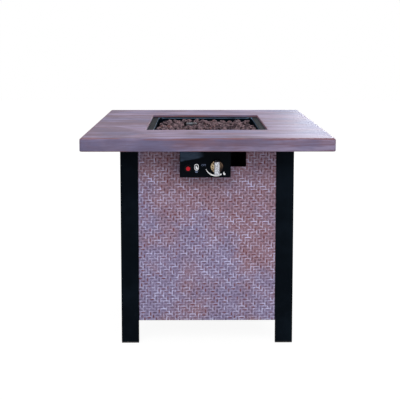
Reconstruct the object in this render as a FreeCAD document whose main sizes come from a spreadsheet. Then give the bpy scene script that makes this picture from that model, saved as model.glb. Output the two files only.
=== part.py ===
import FreeCAD, Part

import math
import os
import random
import re

import Sketcher

# Square gas fire-pit table, in millimetres.
# The origin is on the floor under the centre of the top, +Z is up and the control box faces -Y.
# A piece of the square frame is drawn once on the front side and turned about Z to the other sides.

os.makedirs("parts", exist_ok=True)
doc = FreeCAD.newDocument("FirePitTable")
V = FreeCAD.Vector

# Driving dimensions: alias, value, meaning
SIZES = [
    # Tabletop
    ("top_side", 711, "side of the square top, 28 in"),
    ("table_height", 630, "floor to the top face"),
    ("lip_height", 37, "height of the folded lip"),
    ("lip_return", 12, "width of the flange folded in under the lip"),
    ("top_sheet", 1.5, "sheet of the top"),
    ("top_edge_round", 5, "rounding of the upper edges"),
    ("top_corner_round", 9, "rounding of the vertical corners"),
    ("lip_edge_round", 1, "rounding of the lower edges of the lip"),
    ("opening_half", 184, "half the side of the burner recess"),
    ("ledge_depth", 8, "depth of the ledge under the top face"),
    ("ledge_width", 16, "width of the ledge that carries the pan"),
    # Frame
    ("base_half", 254, "half the width over the legs, 20 in over all"),
    ("leg_width", 52, "width of one flange of a leg"),
    ("leg_sheet", 2, "thickness of a leg"),
    ("leg_bend", 3, "outer bend radius of a leg"),
    ("foot_height", 4, "height of the plastic foot under a leg"),
    ("foot_plug", 12, "height of the plug of a foot inside the leg"),
    ("brace_width", 30, "width of the channels under the deck"),
    ("brace_height", 18, "height of the channels under the deck"),
    ("rail_height", 30, "upright flange of a rail"),
    ("rail_flange", 25, "flat flange of a rail"),
    ("rail_sheet", 1.5, "thickness of rails and channels"),
    ("rail_half", 233, "half the length of a front or rear rail"),
    ("side_rail_half", 223, "half the length of a left or right rail"),
    ("low_rail_base", 70, "underside of the lower rails"),
    ("bolt_offset", 212, "rail bolts, sideways from the middle"),
    ("bolt_radius", 2.5, "rail bolts and top screws"),
    ("bolt_head", 4.5, "head radius of the rail bolts and top screws"),
    ("head_height", 3, "head height of the rail bolts and top screws"),
    ("top_screw_offset", 150, "top screws, sideways from the middle"),
    # Panels
    ("panel_face", 251, "outer face of the panels from the middle"),
    ("panel_sheet", 1.2, "sheet of panels and door"),
    ("panel_half", 236, "half the width of a panel"),
    ("panel_fold", 12, "depth of the flanges folded in at the edges"),
    ("panel_base", 68, "lower edge of the panels"),
    ("panel_top", 606, "upper edge of the fixed panels"),
    ("notch_left", 66, "cut-out of the front panel, left of the middle"),
    ("notch_right", 114, "cut-out of the front panel, right of the middle"),
    ("notch_base", 531, "lower edge of the cut-out"),
    ("notch_top", 578, "upper edge of the cut-out"),
    # Rear door
    ("door_left", 199.5, "free edge of the door from the middle"),
    ("door_right", 198.5, "hinge edge of the door from the middle"),
    ("door_base", 70, "lower edge of the door"),
    ("door_top", 588, "upper edge of the door"),
    ("door_gap", 0.6, "gap between the door and the rails"),
    ("door_fold_base", 106, "lower end of the door's folded edges"),
    ("door_fold_top", 556, "upper end of the door's folded edges"),
    ("hinge_across", 201, "hinge axis, right of the middle"),
    ("hinge_behind", 256.9, "hinge axis, behind the middle"),
    ("hinge_low", 160, "middle of the lower hinge"),
    ("hinge_high", 500, "middle of the upper hinge"),
    ("knuckle_radius", 2.8, "radius of a hinge knuckle"),
    ("knuckle_length", 16, "length of a hinge knuckle"),
    ("knuckle_gap", 0.3, "gap between two knuckles"),
    ("hinge_pin_radius", 1.5, "radius of a hinge pin"),
    ("hinge_leaf", 1.2, "thickness of a hinge leaf"),
    ("running_gap", 0.08, "radial clearance of the turning and sliding fits"),
    ("pull_across", 180, "door pull, left of the middle"),
    ("pull_height", 330, "door pull, above the floor"),
    # Shelf and cylinder clamp
    ("shelf_half", 233, "half the side of the base shelf"),
    ("shelf_fold", 15, "upturned edge of the base shelf"),
    ("shelf_hole", 85, "radius of the hole in the shelf"),
    ("ring_bore", 106, "inner radius of the tank ring"),
    ("ring_wall", 2, "wall of the tank ring"),
    ("ring_height", 25, "height of the tank ring"),
    ("clamp_height", 86, "axis of the tank screw above the floor"),
    ("clamp_radius", 4, "radius of the tank screw"),
    # Burner pan and burner
    ("pan_gap", 1, "gap round the pan's flange"),
    ("pan_opening_half", 163, "half the side of the pan's mouth"),
    ("pan_corner", 22, "corner radius of the pan's mouth"),
    ("pan_depth", 58, "depth of the pan under its flange"),
    ("pan_sheet", 1.5, "sheet of the pan"),
    ("burner_radius", 112, "radius of the burner ring's centre line"),
    ("burner_tube", 9.5, "radius of the burner tube"),
    ("burner_wall", 1.2, "wall of the burner tube"),
    ("burner_level", 592, "centre line of the burner ring above the floor"),
    ("port_radius", 1.5, "radius of a flame port"),
    ("riser_radius", 12, "radius of the riser and of the air mixer"),
    ("riser_base", 574, "lower end of the riser"),
    ("gas_level", 548, "axis of the feed tube and of the air mixer"),
    ("mixer_bend", 14, "bend radius of the air mixer"),
    ("mixer_mouth", 88, "mouth of the air mixer, in front of the middle"),
    ("nut_flats", 34, "width across flats of the burner nut"),
    # Control box and what it carries
    ("box_left", 79, "control box, left of the middle"),
    ("box_right", 67, "control box, right of the middle"),
    ("box_base", 507.5, "underside of the control box"),
    ("box_top", 590, "upper side of the control box"),
    ("box_front", 292, "front face of the control box from the middle"),
    ("box_sheet", 1.5, "sheet of the control box"),
    ("knob_across", 27, "knob axis, right of the middle"),
    ("knob_height", 541, "knob axis above the floor"),
    ("knob_radius", 18, "radius of the knob's disc"),
    ("knob_back", 297, "back of the knob from the middle"),
    ("knob_disc", 6, "thickness of the knob's disc"),
    ("grip_width", 15, "width of the knob's grip bar"),
    ("grip_length", 41, "length of the knob's grip bar"),
    ("grip_rise", 18, "end of the grip bar above the knob axis"),
    ("grip_height", 15, "height of the grip bar over the disc"),
    ("stem_radius", 3, "radius of the valve stem"),
    ("valve_radius", 14, "radius of the valve body"),
    ("post_offset", 12.5, "posts of the bonnet, above and below the stem"),
    ("coil_radius", 4.6, "middle radius of the stem spring"),
    ("coil_wire", 0.6, "wire radius of the stem spring"),
    ("coil_turns", 4, "turns of the stem spring"),
    ("igniter_across", 55, "igniter axis, left of the middle"),
    ("igniter_height", 534, "igniter axis above the floor"),
    ("button_radius", 6, "radius of the igniter button"),
    ("barrel_radius", 8, "radius of the igniter body"),
    # Tube and leads
    ("feed_radius", 4.75, "radius of the feed tube"),
    ("lead_across", 52, "ignition lead, left of the middle"),
    ("lead_radius", 2, "radius of the ignition lead"),
    ("sensor_across", 40, "thermocouple lead, left of the middle"),
    ("sensor_radius", 1.5, "radius of the thermocouple lead"),
    ("lead_level", 558, "axis of the two leads under the pan"),
    ("hood_across", 48, "flame hood, left of the middle"),
    ("hood_behind", 62, "flame hood, behind the middle"),
    # Lava rock
    ("rock_gap", 0.3, "least gap between two rocks, or a rock and the burner"),
    ("heap_top", 623.7, "surface of the heap above the floor"),
    ("heap_fall", 2.5, "how much lower the heap is along the walls"),
    ("rock_clearance", 1.5, "least gap between a rock and the pan's walls"),
]

sheet = doc.addObject("Spreadsheet::Sheet", "Sizes")
for row, (alias, value, meaning) in enumerate(SIZES, start=1):
    sheet.set(f"A{row}", meaning)
    sheet.set(f"B{row}", str(value))
    sheet.setAlias(f"B{row}", alias)
doc.recompute()

NAMES = {alias for alias, _, _ in SIZES}
NODES = []


def size(alias):
    """Read one driving dimension back from the sheet."""
    return float(sheet.get(alias))


def bound(formula):
    """Spell a formula of size names as an expression on the sheet."""
    return re.sub(r"[a-z_]+", lambda m: f"Sizes.{m[0]}" if m[0] in NAMES else m[0], str(formula))


# Sketches and features


def new_body(name):
    """Start one piece of the table."""
    body = doc.addObject("PartDesign::Body", name)
    body.Label = name
    NODES.append((name, body))
    return body


def origin_feature(body, role):
    """Find one of the body's own origin planes or axes."""
    return next(f for f in body.Origin.OriginFeatures if f.Role == role)


def new_sketch(body, plane, level="0"):
    """Lay a sketch on an origin plane, moved along that plane's normal to a level."""
    sketch = body.newObject("Sketcher::SketchObject", "Sketch")
    sketch.AttachmentSupport = (origin_feature(body, plane), [""])
    sketch.MapMode = "FlatFace"
    sketch.setExpression("AttachmentOffset.Base.z", bound(level))
    return sketch


def fix_point(sketch, geometry, vertex, x, y):
    """Hold a point of the sketch at two formulas."""
    at = sketch.getPoint(geometry, vertex)
    for kind, start, formula in (("DistanceX", at.x, x), ("DistanceY", at.y, y)):
        index = sketch.addConstraint(Sketcher.Constraint(kind, geometry, vertex, start))
        sketch.setExpression(f"Constraints[{index}]", bound(formula))


def polygon(sketch, points):
    """Close a polygon through points given as formulas."""
    first = sketch.GeometryCount
    count = len(points)
    turn = 2 * math.pi / count
    ring = [V(math.cos(k * turn), math.sin(k * turn), 0) * 10 for k in range(count)]
    for k in range(count):
        sketch.addGeometry(Part.LineSegment(ring[k], ring[(k + 1) % count]))
    for k in range(count):
        sketch.addConstraint(Sketcher.Constraint("Coincident", first + k, 2, first + (k + 1) % count, 1))
    for k, (x, y) in enumerate(points):
        fix_point(sketch, first + k, 1, x, y)


def rectangle(sketch, left, right, low, high):
    """Close a rectangle between four formulas."""
    polygon(sketch, [(left, low), (right, low), (right, high), (left, high)])


def square(sketch, half):
    """Close a square about the origin."""
    rectangle(sketch, f"-({half})", half, f"-({half})", half)


def rounded_square(sketch, half, radius):
    """Close a square about the origin with arcs at its corners, lines and arcs tangent."""
    first = sketch.GeometryCount
    reach, bend = 100, 20
    flat = reach - bend
    for k in range(4):
        turn = FreeCAD.Rotation(V(0, 0, 1), 90 * k)
        ends = [turn.multVec(V(reach, y, 0)) for y in (-flat, flat)]
        sketch.addGeometry(Part.LineSegment(*ends))
        bow = Part.Circle(turn.multVec(V(flat, flat, 0)), V(0, 0, 1), bend)
        start = k * math.pi / 2
        sketch.addGeometry(Part.ArcOfCircle(bow, start, start + math.pi / 2))
    for k in range(4):
        line, bow, after = first + 2 * k, first + 2 * k + 1, first + (2 * k + 2) % 8
        sketch.addConstraint(Sketcher.Constraint("Tangent", line, 2, bow, 1))
        sketch.addConstraint(Sketcher.Constraint("Tangent", bow, 2, after, 1))
        across = k % 2 == 0
        sketch.addConstraint(Sketcher.Constraint("Vertical" if across else "Horizontal", line))
        sign = 1 if k < 2 else -1
        kind = "DistanceX" if across else "DistanceY"
        place = sketch.addConstraint(Sketcher.Constraint(kind, line, 1, sign * reach))
        sketch.setExpression(f"Constraints[{place}]", bound(f"{sign} * ({half})"))
        held = sketch.addConstraint(Sketcher.Constraint("Radius", bow, bend))
        sketch.setExpression(f"Constraints[{held}]", bound(radius))


def circle(sketch, x, y, radius):
    """Draw a circle whose centre and radius are formulas."""
    index = sketch.addGeometry(Part.Circle(V(1, 1, 0), V(0, 0, 1), 1))
    fix_point(sketch, index, 3, x, y)
    held = sketch.addConstraint(Sketcher.Constraint("Radius", index, 1.0))
    sketch.setExpression(f"Constraints[{held}]", bound(radius))


def pad(body, sketch, length, reverse=False, both=False):
    """Raise a sketch along its normal, against it, or half to each side."""
    feature = body.newObject("PartDesign::Pad", "Pad")
    feature.Profile = sketch
    feature.setExpression("Length", bound(length))
    feature.Reversed = reverse
    feature.Midplane = both
    return feature


def pocket(body, sketch, depth, reverse=False, both=False):
    """Cut a sketch against its normal, or along it when reversed."""
    feature = body.newObject("PartDesign::Pocket", "Pocket")
    feature.Profile = sketch
    feature.setExpression("Length", bound(depth))
    feature.Reversed = reverse
    feature.Midplane = both
    return feature


def revolve(body, sketch, axis):
    """Turn a sketch once round an origin axis."""
    feature = body.newObject("PartDesign::Revolution", "Revolution")
    feature.Profile = sketch
    feature.ReferenceAxis = (origin_feature(body, axis), [""])
    feature.Angle = 360
    return feature


def edges(feature, wanted):
    """Name the edges of a feature's shape that pass a test."""
    found = enumerate(feature.Shape.Edges, start=1)
    return [f"Edge{k}" for k, edge in found if wanted(edge)]


def fillet(body, feature, radius, wanted):
    """Round the chosen edges of the last feature."""
    doc.recompute()
    rounding = body.newObject("PartDesign::Fillet", "Fillet")
    rounding.Base = (feature, edges(feature, wanted))
    rounding.setExpression("Radius", bound(radius))
    return rounding


def ring_pattern(body, features, count):
    """Repeat features evenly round the Z axis."""
    pattern = body.newObject("PartDesign::PolarPattern", "PolarPattern")
    pattern.Originals = features
    pattern.Axis = (origin_feature(body, "Z_Axis"), [""])
    pattern.Angle = 360
    pattern.Occurrences = count
    body.Tip = pattern
    return pattern


def turned(body, degrees):
    """Turn a piece drawn on the front side to another side of the table."""
    body.Placement = FreeCAD.Placement(V(0, 0, 0), FreeCAD.Rotation(V(0, 0, 1), degrees))


def is_upright(edge):
    """Tell whether an edge runs along Z."""
    box = edge.BoundBox
    return box.ZLength > 1 and box.XLength + box.YLength < 0.01


def lies_at(level):
    """Test for edges in the horizontal plane at a level."""
    return lambda edge: abs(edge.BoundBox.ZMin - level) < 0.01 and edge.BoundBox.ZLength < 0.01


def faces_front_at(level):
    """Test for edges in the plane Y = -level."""
    return lambda edge: abs(edge.BoundBox.YMin + level) < 0.01 and edge.BoundBox.YLength < 0.01


# Tabletop: one folded shell with a lip all round and a sunk ledge round the opening


def make_tabletop():
    body = new_body("tabletop")
    outline = new_sketch(body, "XY_Plane", "table_height")
    square(outline, "top_side / 2")
    slab = pad(body, outline, "lip_height", reverse=True)
    corners = fillet(body, slab, "top_corner_round", is_upright)
    rim = fillet(body, corners, "top_edge_round", lies_at(size("table_height")))
    fillet(body, rim, "lip_edge_round", lies_at(size("table_height") - size("lip_height")))
    hollow = new_sketch(body, "XY_Plane", "table_height - top_sheet")
    square(hollow, "top_side / 2 - top_sheet")
    pocket(body, hollow, "lip_height - 2 * top_sheet")
    mouth = new_sketch(body, "XY_Plane", "table_height - lip_height + top_sheet")
    square(mouth, "top_side / 2 - lip_return")
    pocket(body, mouth, "top_sheet + 1")
    frame = new_sketch(body, "XY_Plane", "table_height - top_sheet")
    square(frame, "opening_half + top_sheet")
    pad(body, frame, "ledge_depth", reverse=True)
    recess = new_sketch(body, "XY_Plane", "table_height")
    square(recess, "opening_half")
    pocket(body, recess, "ledge_depth")
    cutout = new_sketch(body, "XY_Plane", "table_height")
    square(cutout, "opening_half - ledge_width")
    pocket(body, cutout, "ledge_depth + top_sheet + 1")


def make_top_braces():
    """Channels, open upwards, welded under the deck along the four sides."""
    body = new_body("top_braces")
    middle = "(panel_face - panel_sheet - rail_flange / 2)"
    runs = (
        ("XZ_Plane", "rail_half + rail_flange / 2", False),
        ("XZ_Plane", "rail_half + rail_flange / 2", True),
        ("YZ_Plane", "side_rail_half - 3", False),
        ("YZ_Plane", "side_rail_half - 3", True),
    )
    deck = "table_height - top_sheet"
    for plane, half, far in runs:
        side = "" if far else "-"
        across = f"({side}{middle})"
        low = f"({deck} - brace_height)"
        outer = (f"{across} - brace_width / 2", f"{across} + brace_width / 2")
        section = new_sketch(body, "YZ_Plane" if plane == "XZ_Plane" else "XZ_Plane")
        polygon(section, [
            (outer[0], low), (outer[1], low), (outer[1], deck), (f"{outer[1]} - rail_sheet", deck),
            (f"{outer[1]} - rail_sheet", f"{low} + rail_sheet"),
            (f"{outer[0]} + rail_sheet", f"{low} + rail_sheet"), (f"{outer[0]} + rail_sheet", deck),
            (outer[0], deck),
        ])
        pad(body, section, f"2 * ({half})", both=True)
    holes = new_sketch(body, "XY_Plane", f"{deck} - brace_height")
    for side in ("-", ""):
        circle(holes, f"{side}top_screw_offset", f"-{middle}", "bolt_radius")
    drilled = pocket(body, holes, "2 * rail_sheet", reverse=True)
    ring_pattern(body, [drilled], 4)


# Frame: legs, feet, rails and their bolts


def make_leg(name, degrees):
    """Angle section with its corner at the front left, and bolt holes in both flanges."""
    body = new_body(name)
    top = "table_height - top_sheet - brace_height"
    section = new_sketch(body, "XY_Plane", "foot_height")
    polygon(section, [
        ("-base_half", "-base_half"), ("-base_half + leg_width", "-base_half"),
        ("-base_half + leg_width", "-base_half + leg_sheet"),
        ("-base_half + leg_sheet", "-base_half + leg_sheet"),
        ("-base_half + leg_sheet", "-base_half + leg_width"), ("-base_half", "-base_half + leg_width"),
    ])
    angle = pad(body, section, f"{top} - foot_height")

    def is_bend(edge):
        box = edge.BoundBox
        corner = size("base_half")
        return is_upright(edge) and abs(box.XMin + corner) + abs(box.YMin + corner) < 0.01

    fillet(body, angle, "leg_bend", is_bend)
    for plane in ("XZ_Plane", "YZ_Plane"):
        along = "base_half" if plane == "XZ_Plane" else "-base_half"
        holes = new_sketch(body, plane, along)
        for height in ("low_rail_base + rail_height / 2", f"{top} - rail_height / 2"):
            circle(holes, "-bolt_offset", height, "bolt_radius")
        pocket(body, holes, "2 * leg_sheet", reverse=plane == "YZ_Plane")
    turned(body, degrees)


def make_leg_feet():
    """Plastic feet: an angle-shaped pad under each leg and a plug inside it."""
    body = new_body("leg_feet")
    plate = new_sketch(body, "XY_Plane")
    outer = "-base_half + 0.5"
    reach = "-base_half + leg_width - 0.5"
    inner = "-base_half + leg_sheet + 4"
    polygon(plate, [
        (outer, outer), (reach, outer), (reach, inner),
        (inner, inner), (inner, reach), (outer, reach),
    ])
    sole = pad(body, plate, "foot_height")
    stub = new_sketch(body, "XY_Plane", "foot_height")
    wall = "-base_half + leg_sheet + 0.2"
    end = "-base_half + leg_width - 6"
    polygon(stub, [(wall, wall), (end, wall), (end, inner), (inner, inner), (inner, end), (wall, end)])
    plug = pad(body, stub, "foot_plug")
    ring_pattern(body, [sole, plug], 4)


def make_rail(name, degrees, upper, half, hangs_box=False):
    """Angle rail behind the panels: flat flange up under the braces, or down under the shelf."""
    body = new_body(name)
    back = "-(panel_face - panel_sheet)"
    top = "(table_height - top_sheet - brace_height)"
    low = f"({top} - rail_height)" if upper else "low_rail_base"
    high = f"({low} + rail_height)"
    corner = high if upper else low
    flat = f"{corner} - rail_sheet" if upper else f"{corner} + rail_sheet"
    far = low if upper else high
    section = new_sketch(body, "YZ_Plane")
    polygon(section, [
        (back, far), (f"{back} + rail_sheet", far), (f"{back} + rail_sheet", flat),
        (f"{back} + rail_flange", flat), (f"{back} + rail_flange", corner), (back, corner),
    ])
    pad(body, section, f"2 * {half}", both=True)
    bolts = new_sketch(body, "XZ_Plane", "panel_face")
    for side in ("-", ""):
        circle(bolts, f"{side}bolt_offset", f"{low} + rail_height / 2", "bolt_radius")
    pocket(body, bolts, "2 * panel_sheet + 2 * rail_sheet")
    if upper:
        screws = new_sketch(body, "XY_Plane", f"{top} + 1")
        for side in ("-", ""):
            across = "(panel_face - panel_sheet - rail_flange / 2)"
            circle(screws, f"{side}top_screw_offset", f"-{across}", "bolt_radius")
        pocket(body, screws, "rail_sheet + 2")
    if hangs_box:
        ears = new_sketch(body, "XZ_Plane", "panel_face")
        for across in EAR_MIDDLES:
            circle(ears, across, EAR_HEIGHT, "2")
        pocket(body, ears, "2 * panel_sheet + 2 * rail_sheet")
    turned(body, degrees)


def make_rail_bolts():
    """Bolts from inside through rail, panel and leg, four on each side."""
    body = new_body("rail_bolts")
    top = "(table_height - top_sheet - brace_height)"
    inner = "panel_face - panel_sheet - rail_sheet"
    features = []
    for radius, length, reverse in (("bolt_head", "head_height", True),
                                    ("bolt_radius", f"base_half - ({inner})", False)):
        sketch = new_sketch(body, "XZ_Plane", inner)
        for side in ("-", ""):
            for height in ("low_rail_base + rail_height / 2", f"{top} - rail_height / 2"):
                circle(sketch, f"{side}bolt_offset", height, radius)
        features.append(pad(body, sketch, length, reverse=reverse))
    ring_pattern(body, features, 4)


def make_top_screws():
    """Screws from below through the upper rails into the braces, two on each side."""
    body = new_body("top_screws")
    face = "table_height - top_sheet - brace_height - rail_sheet"
    across = "-(panel_face - panel_sheet - rail_flange / 2)"
    features = []
    for radius, length, reverse in (("bolt_head", "head_height", True), ("bolt_radius", "10", False)):
        sketch = new_sketch(body, "XY_Plane", face)
        for side in ("-", ""):
            circle(sketch, f"{side}top_screw_offset", across, radius)
        features.append(pad(body, sketch, length, reverse=reverse))
    ring_pattern(body, features, 4)


# Panels: trays with folded edges behind the legs


def make_panel(name, degrees, notched=False):
    body = new_body(name)
    face = new_sketch(body, "XZ_Plane", "panel_face")
    rectangle(face, "-panel_half", "panel_half", "panel_base", "panel_top")
    pad(body, face, "panel_fold", reverse=True)
    inside = new_sketch(body, "XZ_Plane", "panel_face - panel_sheet")
    rectangle(inside, "-panel_half + panel_sheet", "panel_half - panel_sheet",
              "panel_base + panel_sheet", "panel_top + 1")
    pocket(body, inside, "panel_fold")
    top = "(table_height - top_sheet - brace_height)"
    holes = new_sketch(body, "XZ_Plane", "panel_face")
    for side in ("-", ""):
        for height in ("low_rail_base + rail_height / 2", f"{top} - rail_height / 2"):
            circle(holes, f"{side}bolt_offset", height, "bolt_radius")
    pocket(body, holes, "2 * panel_sheet")
    if notched:
        notch = new_sketch(body, "XZ_Plane", "panel_face")
        rectangle(notch, "-notch_left", "notch_right", "notch_base", "notch_top")
        pocket(body, notch, "2 * panel_sheet")
        ears = new_sketch(body, "XZ_Plane", "panel_face")
        for across in EAR_MIDDLES:
            circle(ears, across, EAR_HEIGHT, "2")
        pocket(body, ears, "2 * panel_sheet")
    turned(body, degrees)


# Control box: folded box, open at the back, with two ears that hang it on the front panel

EAR_MIDDLES = ("-50", "38")
EAR_HEIGHT = "box_top + 8"


def make_control_box():
    body = new_body("control_box")
    face = new_sketch(body, "XZ_Plane", "box_front")
    rectangle(face, "-box_left", "box_right", "box_base", "box_top")
    block = pad(body, face, "box_front - panel_face", reverse=True)

    def is_front_edge(edge):
        box = edge.BoundBox
        return box.YLength < 0.01 and abs(box.YMin + size("box_front")) < 0.01

    fillet(body, block, "1.2", is_front_edge)
    inside = new_sketch(body, "XZ_Plane", "box_front - box_sheet")
    rectangle(inside, "-box_left + box_sheet", "box_right - box_sheet",
              "box_base + box_sheet", "box_top - box_sheet")
    pocket(body, inside, "box_front - panel_face")
    ears = new_sketch(body, "XZ_Plane", "panel_face")
    for across in EAR_MIDDLES:
        rectangle(ears, f"{across} - 10", f"{across} + 10", "box_top - box_sheet", "box_top + 15")
    pad(body, ears, "box_sheet")
    slots = new_sketch(body, "XZ_Plane", "panel_face")
    for across in EAR_MIDDLES:
        circle(slots, across, EAR_HEIGHT, "2")
    pocket(body, slots, "2 * box_sheet", reverse=True)
    holes = new_sketch(body, "XZ_Plane", "box_front")
    circle(holes, "knob_across", "knob_height", "2 * stem_radius + 1")
    circle(holes, "-igniter_across", "igniter_height", "barrel_radius + 0.1")
    for side in ("-", "+"):
        circle(holes, "knob_across", f"knob_height {side} post_offset", "1.5")
    pocket(body, holes, "2 * box_sheet")


def make_box_screws():
    """Two screws hang the box on the panel and rail, two hold the valve's bonnet."""
    body = new_body("box_screws")
    runs = (
        ([(across, EAR_HEIGHT) for across in EAR_MIDDLES], "panel_face + box_sheet", "3.5", "2.2", "2", "8"),
        ([("knob_across", f"knob_height {side} post_offset") for side in ("-", "+")],
         "box_front", "3", "1.5", "1.5", "9"),
    )
    for places, face, head, height, radius, length in runs:
        heads = new_sketch(body, "XZ_Plane", face)
        shanks = new_sketch(body, "XZ_Plane", face)
        for x, z in places:
            circle(heads, x, z, head)
            circle(shanks, x, z, radius)
        pad(body, heads, height)
        pad(body, shanks, length, reverse=True)


# Gas train: bonnet, valve, inlet, feed tube, orifice, air mixer


def make_valve_bonnet():
    """Disc on the valve with two posts that reach the back of the control box's front."""
    body = new_body("valve_bonnet")
    disc = new_sketch(body, "XZ_Plane", "box_front - 18")
    circle(disc, "knob_across", "knob_height", "valve_radius + 2")
    pad(body, disc, "3")
    posts = new_sketch(body, "XZ_Plane", "box_front - 15")
    for side in ("-", "+"):
        circle(posts, "knob_across", f"knob_height {side} post_offset", "3")
    pad(body, posts, "15 - box_sheet")
    bores = new_sketch(body, "XZ_Plane", "box_front")
    circle(bores, "knob_across", "knob_height", "stem_radius + running_gap")
    pocket(body, bores, "20")
    threads = new_sketch(body, "XZ_Plane", "box_front")
    for side in ("-", "+"):
        circle(threads, "knob_across", f"knob_height {side} post_offset", "1.5")
    pocket(body, threads, "9")


def make_valve_body():
    """Turned barrel in the box, a neck through the panel's cut-out and a block with the ports."""
    body = new_body("valve_body")
    barrel = new_sketch(body, "XZ_Plane", "box_front - 18")
    circle(barrel, "knob_across", "knob_height", "valve_radius")
    pad(body, barrel, "20", reverse=True)
    neck = new_sketch(body, "XZ_Plane", "box_front - 38")
    circle(neck, "knob_across", "knob_height", "9")
    pad(body, neck, "20", reverse=True)
    block = new_sketch(body, "XZ_Plane", "box_front - 56")
    rectangle(block, "knob_across - 15", "knob_across + 15", "knob_height - 15", "knob_height + 15")
    cube = pad(body, block, "26", reverse=True)

    def is_cube_corner(edge):
        box = edge.BoundBox
        return abs(box.YLength - 26) < 0.01

    fillet(body, cube, "2.5", is_cube_corner)
    outlet = new_sketch(body, "XZ_Plane", "box_front - 82")
    circle(outlet, "knob_across", "gas_level", "feed_radius + 1.6")
    pad(body, outlet, "12", reverse=True)
    inlet = new_sketch(body, "YZ_Plane", "knob_across - 15")
    circle(inlet, "-(box_front - 69)", "knob_height", "9")
    pad(body, inlet, "4", reverse=True)
    bore = new_sketch(body, "XZ_Plane", "box_front - 18")
    circle(bore, "knob_across", "knob_height", "stem_radius + running_gap")
    pocket(body, bore, "21")


def make_inlet_fitting():
    """Male flare fitting where the supply hose is screwed on."""
    body = new_body("inlet_fitting")
    start = "knob_across - 19"
    hexagon = new_sketch(body, "YZ_Plane", start)
    hex_sketch(hexagon, "-(box_front - 69)", "knob_height", 17)
    pad(body, hexagon, "8", reverse=True)
    thread = new_sketch(body, "YZ_Plane", f"{start} - 8")
    circle(thread, "-(box_front - 69)", "knob_height", "7.9")
    nipple = pad(body, thread, "15", reverse=True)

    def is_nipple_end(edge):
        return edge.BoundBox.XLength < 0.01 and edge.BoundBox.XMin < size("knob_across") - 41

    cone = body.newObject("PartDesign::Chamfer", "Chamfer")
    doc.recompute()
    cone.Base = (nipple, edges(nipple, is_nipple_end))
    cone.Size = 3
    gas_way = new_sketch(body, "YZ_Plane", f"{start} - 24")
    circle(gas_way, "-(box_front - 69)", "knob_height", "3.5")
    pocket(body, gas_way, "30", reverse=True)


def hex_sketch(sketch, x, y, flats):
    """Draw a hexagon of a width across flats about a centre, flats to the left and right."""
    points = []
    for k in range(6):
        angle = math.radians(30 + 60 * k)
        reach = flats / math.sqrt(3)
        points.append((f"{x} + {reach * math.cos(angle):.4f}", f"{y} + {reach * math.sin(angle):.4f}"))
    polygon(sketch, points)


def make_gas_orifice():
    """Brass hexagon with a flare stub for the tube and a boss that closes the mixer's mouth."""
    body = new_body("gas_orifice")
    hexagon = new_sketch(body, "XZ_Plane", "mixer_mouth")
    hex_sketch(hexagon, "0", "gas_level", 22)
    pad(body, hexagon, "8")
    boss = new_sketch(body, "XZ_Plane", "mixer_mouth")
    circle(boss, "0", "gas_level", "riser_radius - burner_wall - 0.2")
    pad(body, boss, "6", reverse=True)
    jet = new_sketch(body, "XZ_Plane", "mixer_mouth - 6")
    circle(jet, "0", "gas_level", "3.5")
    pad(body, jet, "5", reverse=True)
    stub = new_sketch(body, "XZ_Plane", "mixer_mouth + 8")
    circle(stub, "0", "gas_level", "feed_radius + 1.6")
    pad(body, stub, "10")
    way = new_sketch(body, "XZ_Plane", "mixer_mouth + 20")
    circle(way, "0", "gas_level", "feed_radius")
    pocket(body, way, "14")
    hole = new_sketch(body, "XZ_Plane", "mixer_mouth + 20")
    circle(hole, "0", "gas_level", "0.8")
    pocket(body, hole, "40")


def make_tube_nuts():
    """Hexagon nuts round the two ends of the feed tube."""
    body = new_body("tube_nuts")
    for x, face, reverse in (("knob_across", "box_front - 82 - 6", True), ("0", "mixer_mouth + 10", False)):
        nut = new_sketch(body, "XZ_Plane", face)
        hex_sketch(nut, x, "gas_level", 17)
        circle(nut, x, "gas_level", "feed_radius + 1.65")
        pad(body, nut, "9", reverse=reverse)


def make_air_mixer():
    """Bent tube from the orifice up to the riser, with an air window on each side."""
    body = new_body("air_mixer")
    path = new_sketch(body, "YZ_Plane")
    mouth, level, bend, top = (size(n) for n in ("mixer_mouth", "gas_level", "mixer_bend", "riser_base"))
    path.addGeometry(Part.LineSegment(V(-mouth, level, 0), V(-bend, level, 0)))
    corner = Part.Circle(V(-bend, level + bend, 0), V(0, 0, 1), bend)
    path.addGeometry(Part.ArcOfCircle(corner, -math.pi / 2, 0))
    path.addGeometry(Part.LineSegment(V(0, level + bend, 0), V(0, top, 0)))
    path.addConstraint(Sketcher.Constraint("Tangent", 0, 2, 1, 1))
    path.addConstraint(Sketcher.Constraint("Tangent", 1, 2, 2, 1))
    path.addConstraint(Sketcher.Constraint("Vertical", 2))
    fix_point(path, 0, 1, "-mixer_mouth", "gas_level")
    fix_point(path, 2, 2, "0", "riser_base")
    height = path.addConstraint(Sketcher.Constraint("DistanceY", 0, 2, level))
    path.setExpression(f"Constraints[{height}]", bound("gas_level"))
    arc = path.addConstraint(Sketcher.Constraint("Radius", 1, bend))
    path.setExpression(f"Constraints[{arc}]", bound("mixer_bend"))
    section = new_sketch(body, "XZ_Plane", "mixer_mouth")
    circle(section, "0", "gas_level", "riser_radius")
    circle(section, "0", "gas_level", "riser_radius - burner_wall")
    tube = body.newObject("PartDesign::AdditivePipe", "Pipe")
    tube.Profile = section
    tube.Spine = path
    windows = new_sketch(body, "YZ_Plane")
    rectangle(windows, "-mixer_mouth + 14", "-mixer_mouth + 34", "gas_level - 5", "gas_level + 5")
    pocket(body, windows, "4 * riser_radius", both=True)


PORTS = 20


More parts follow.
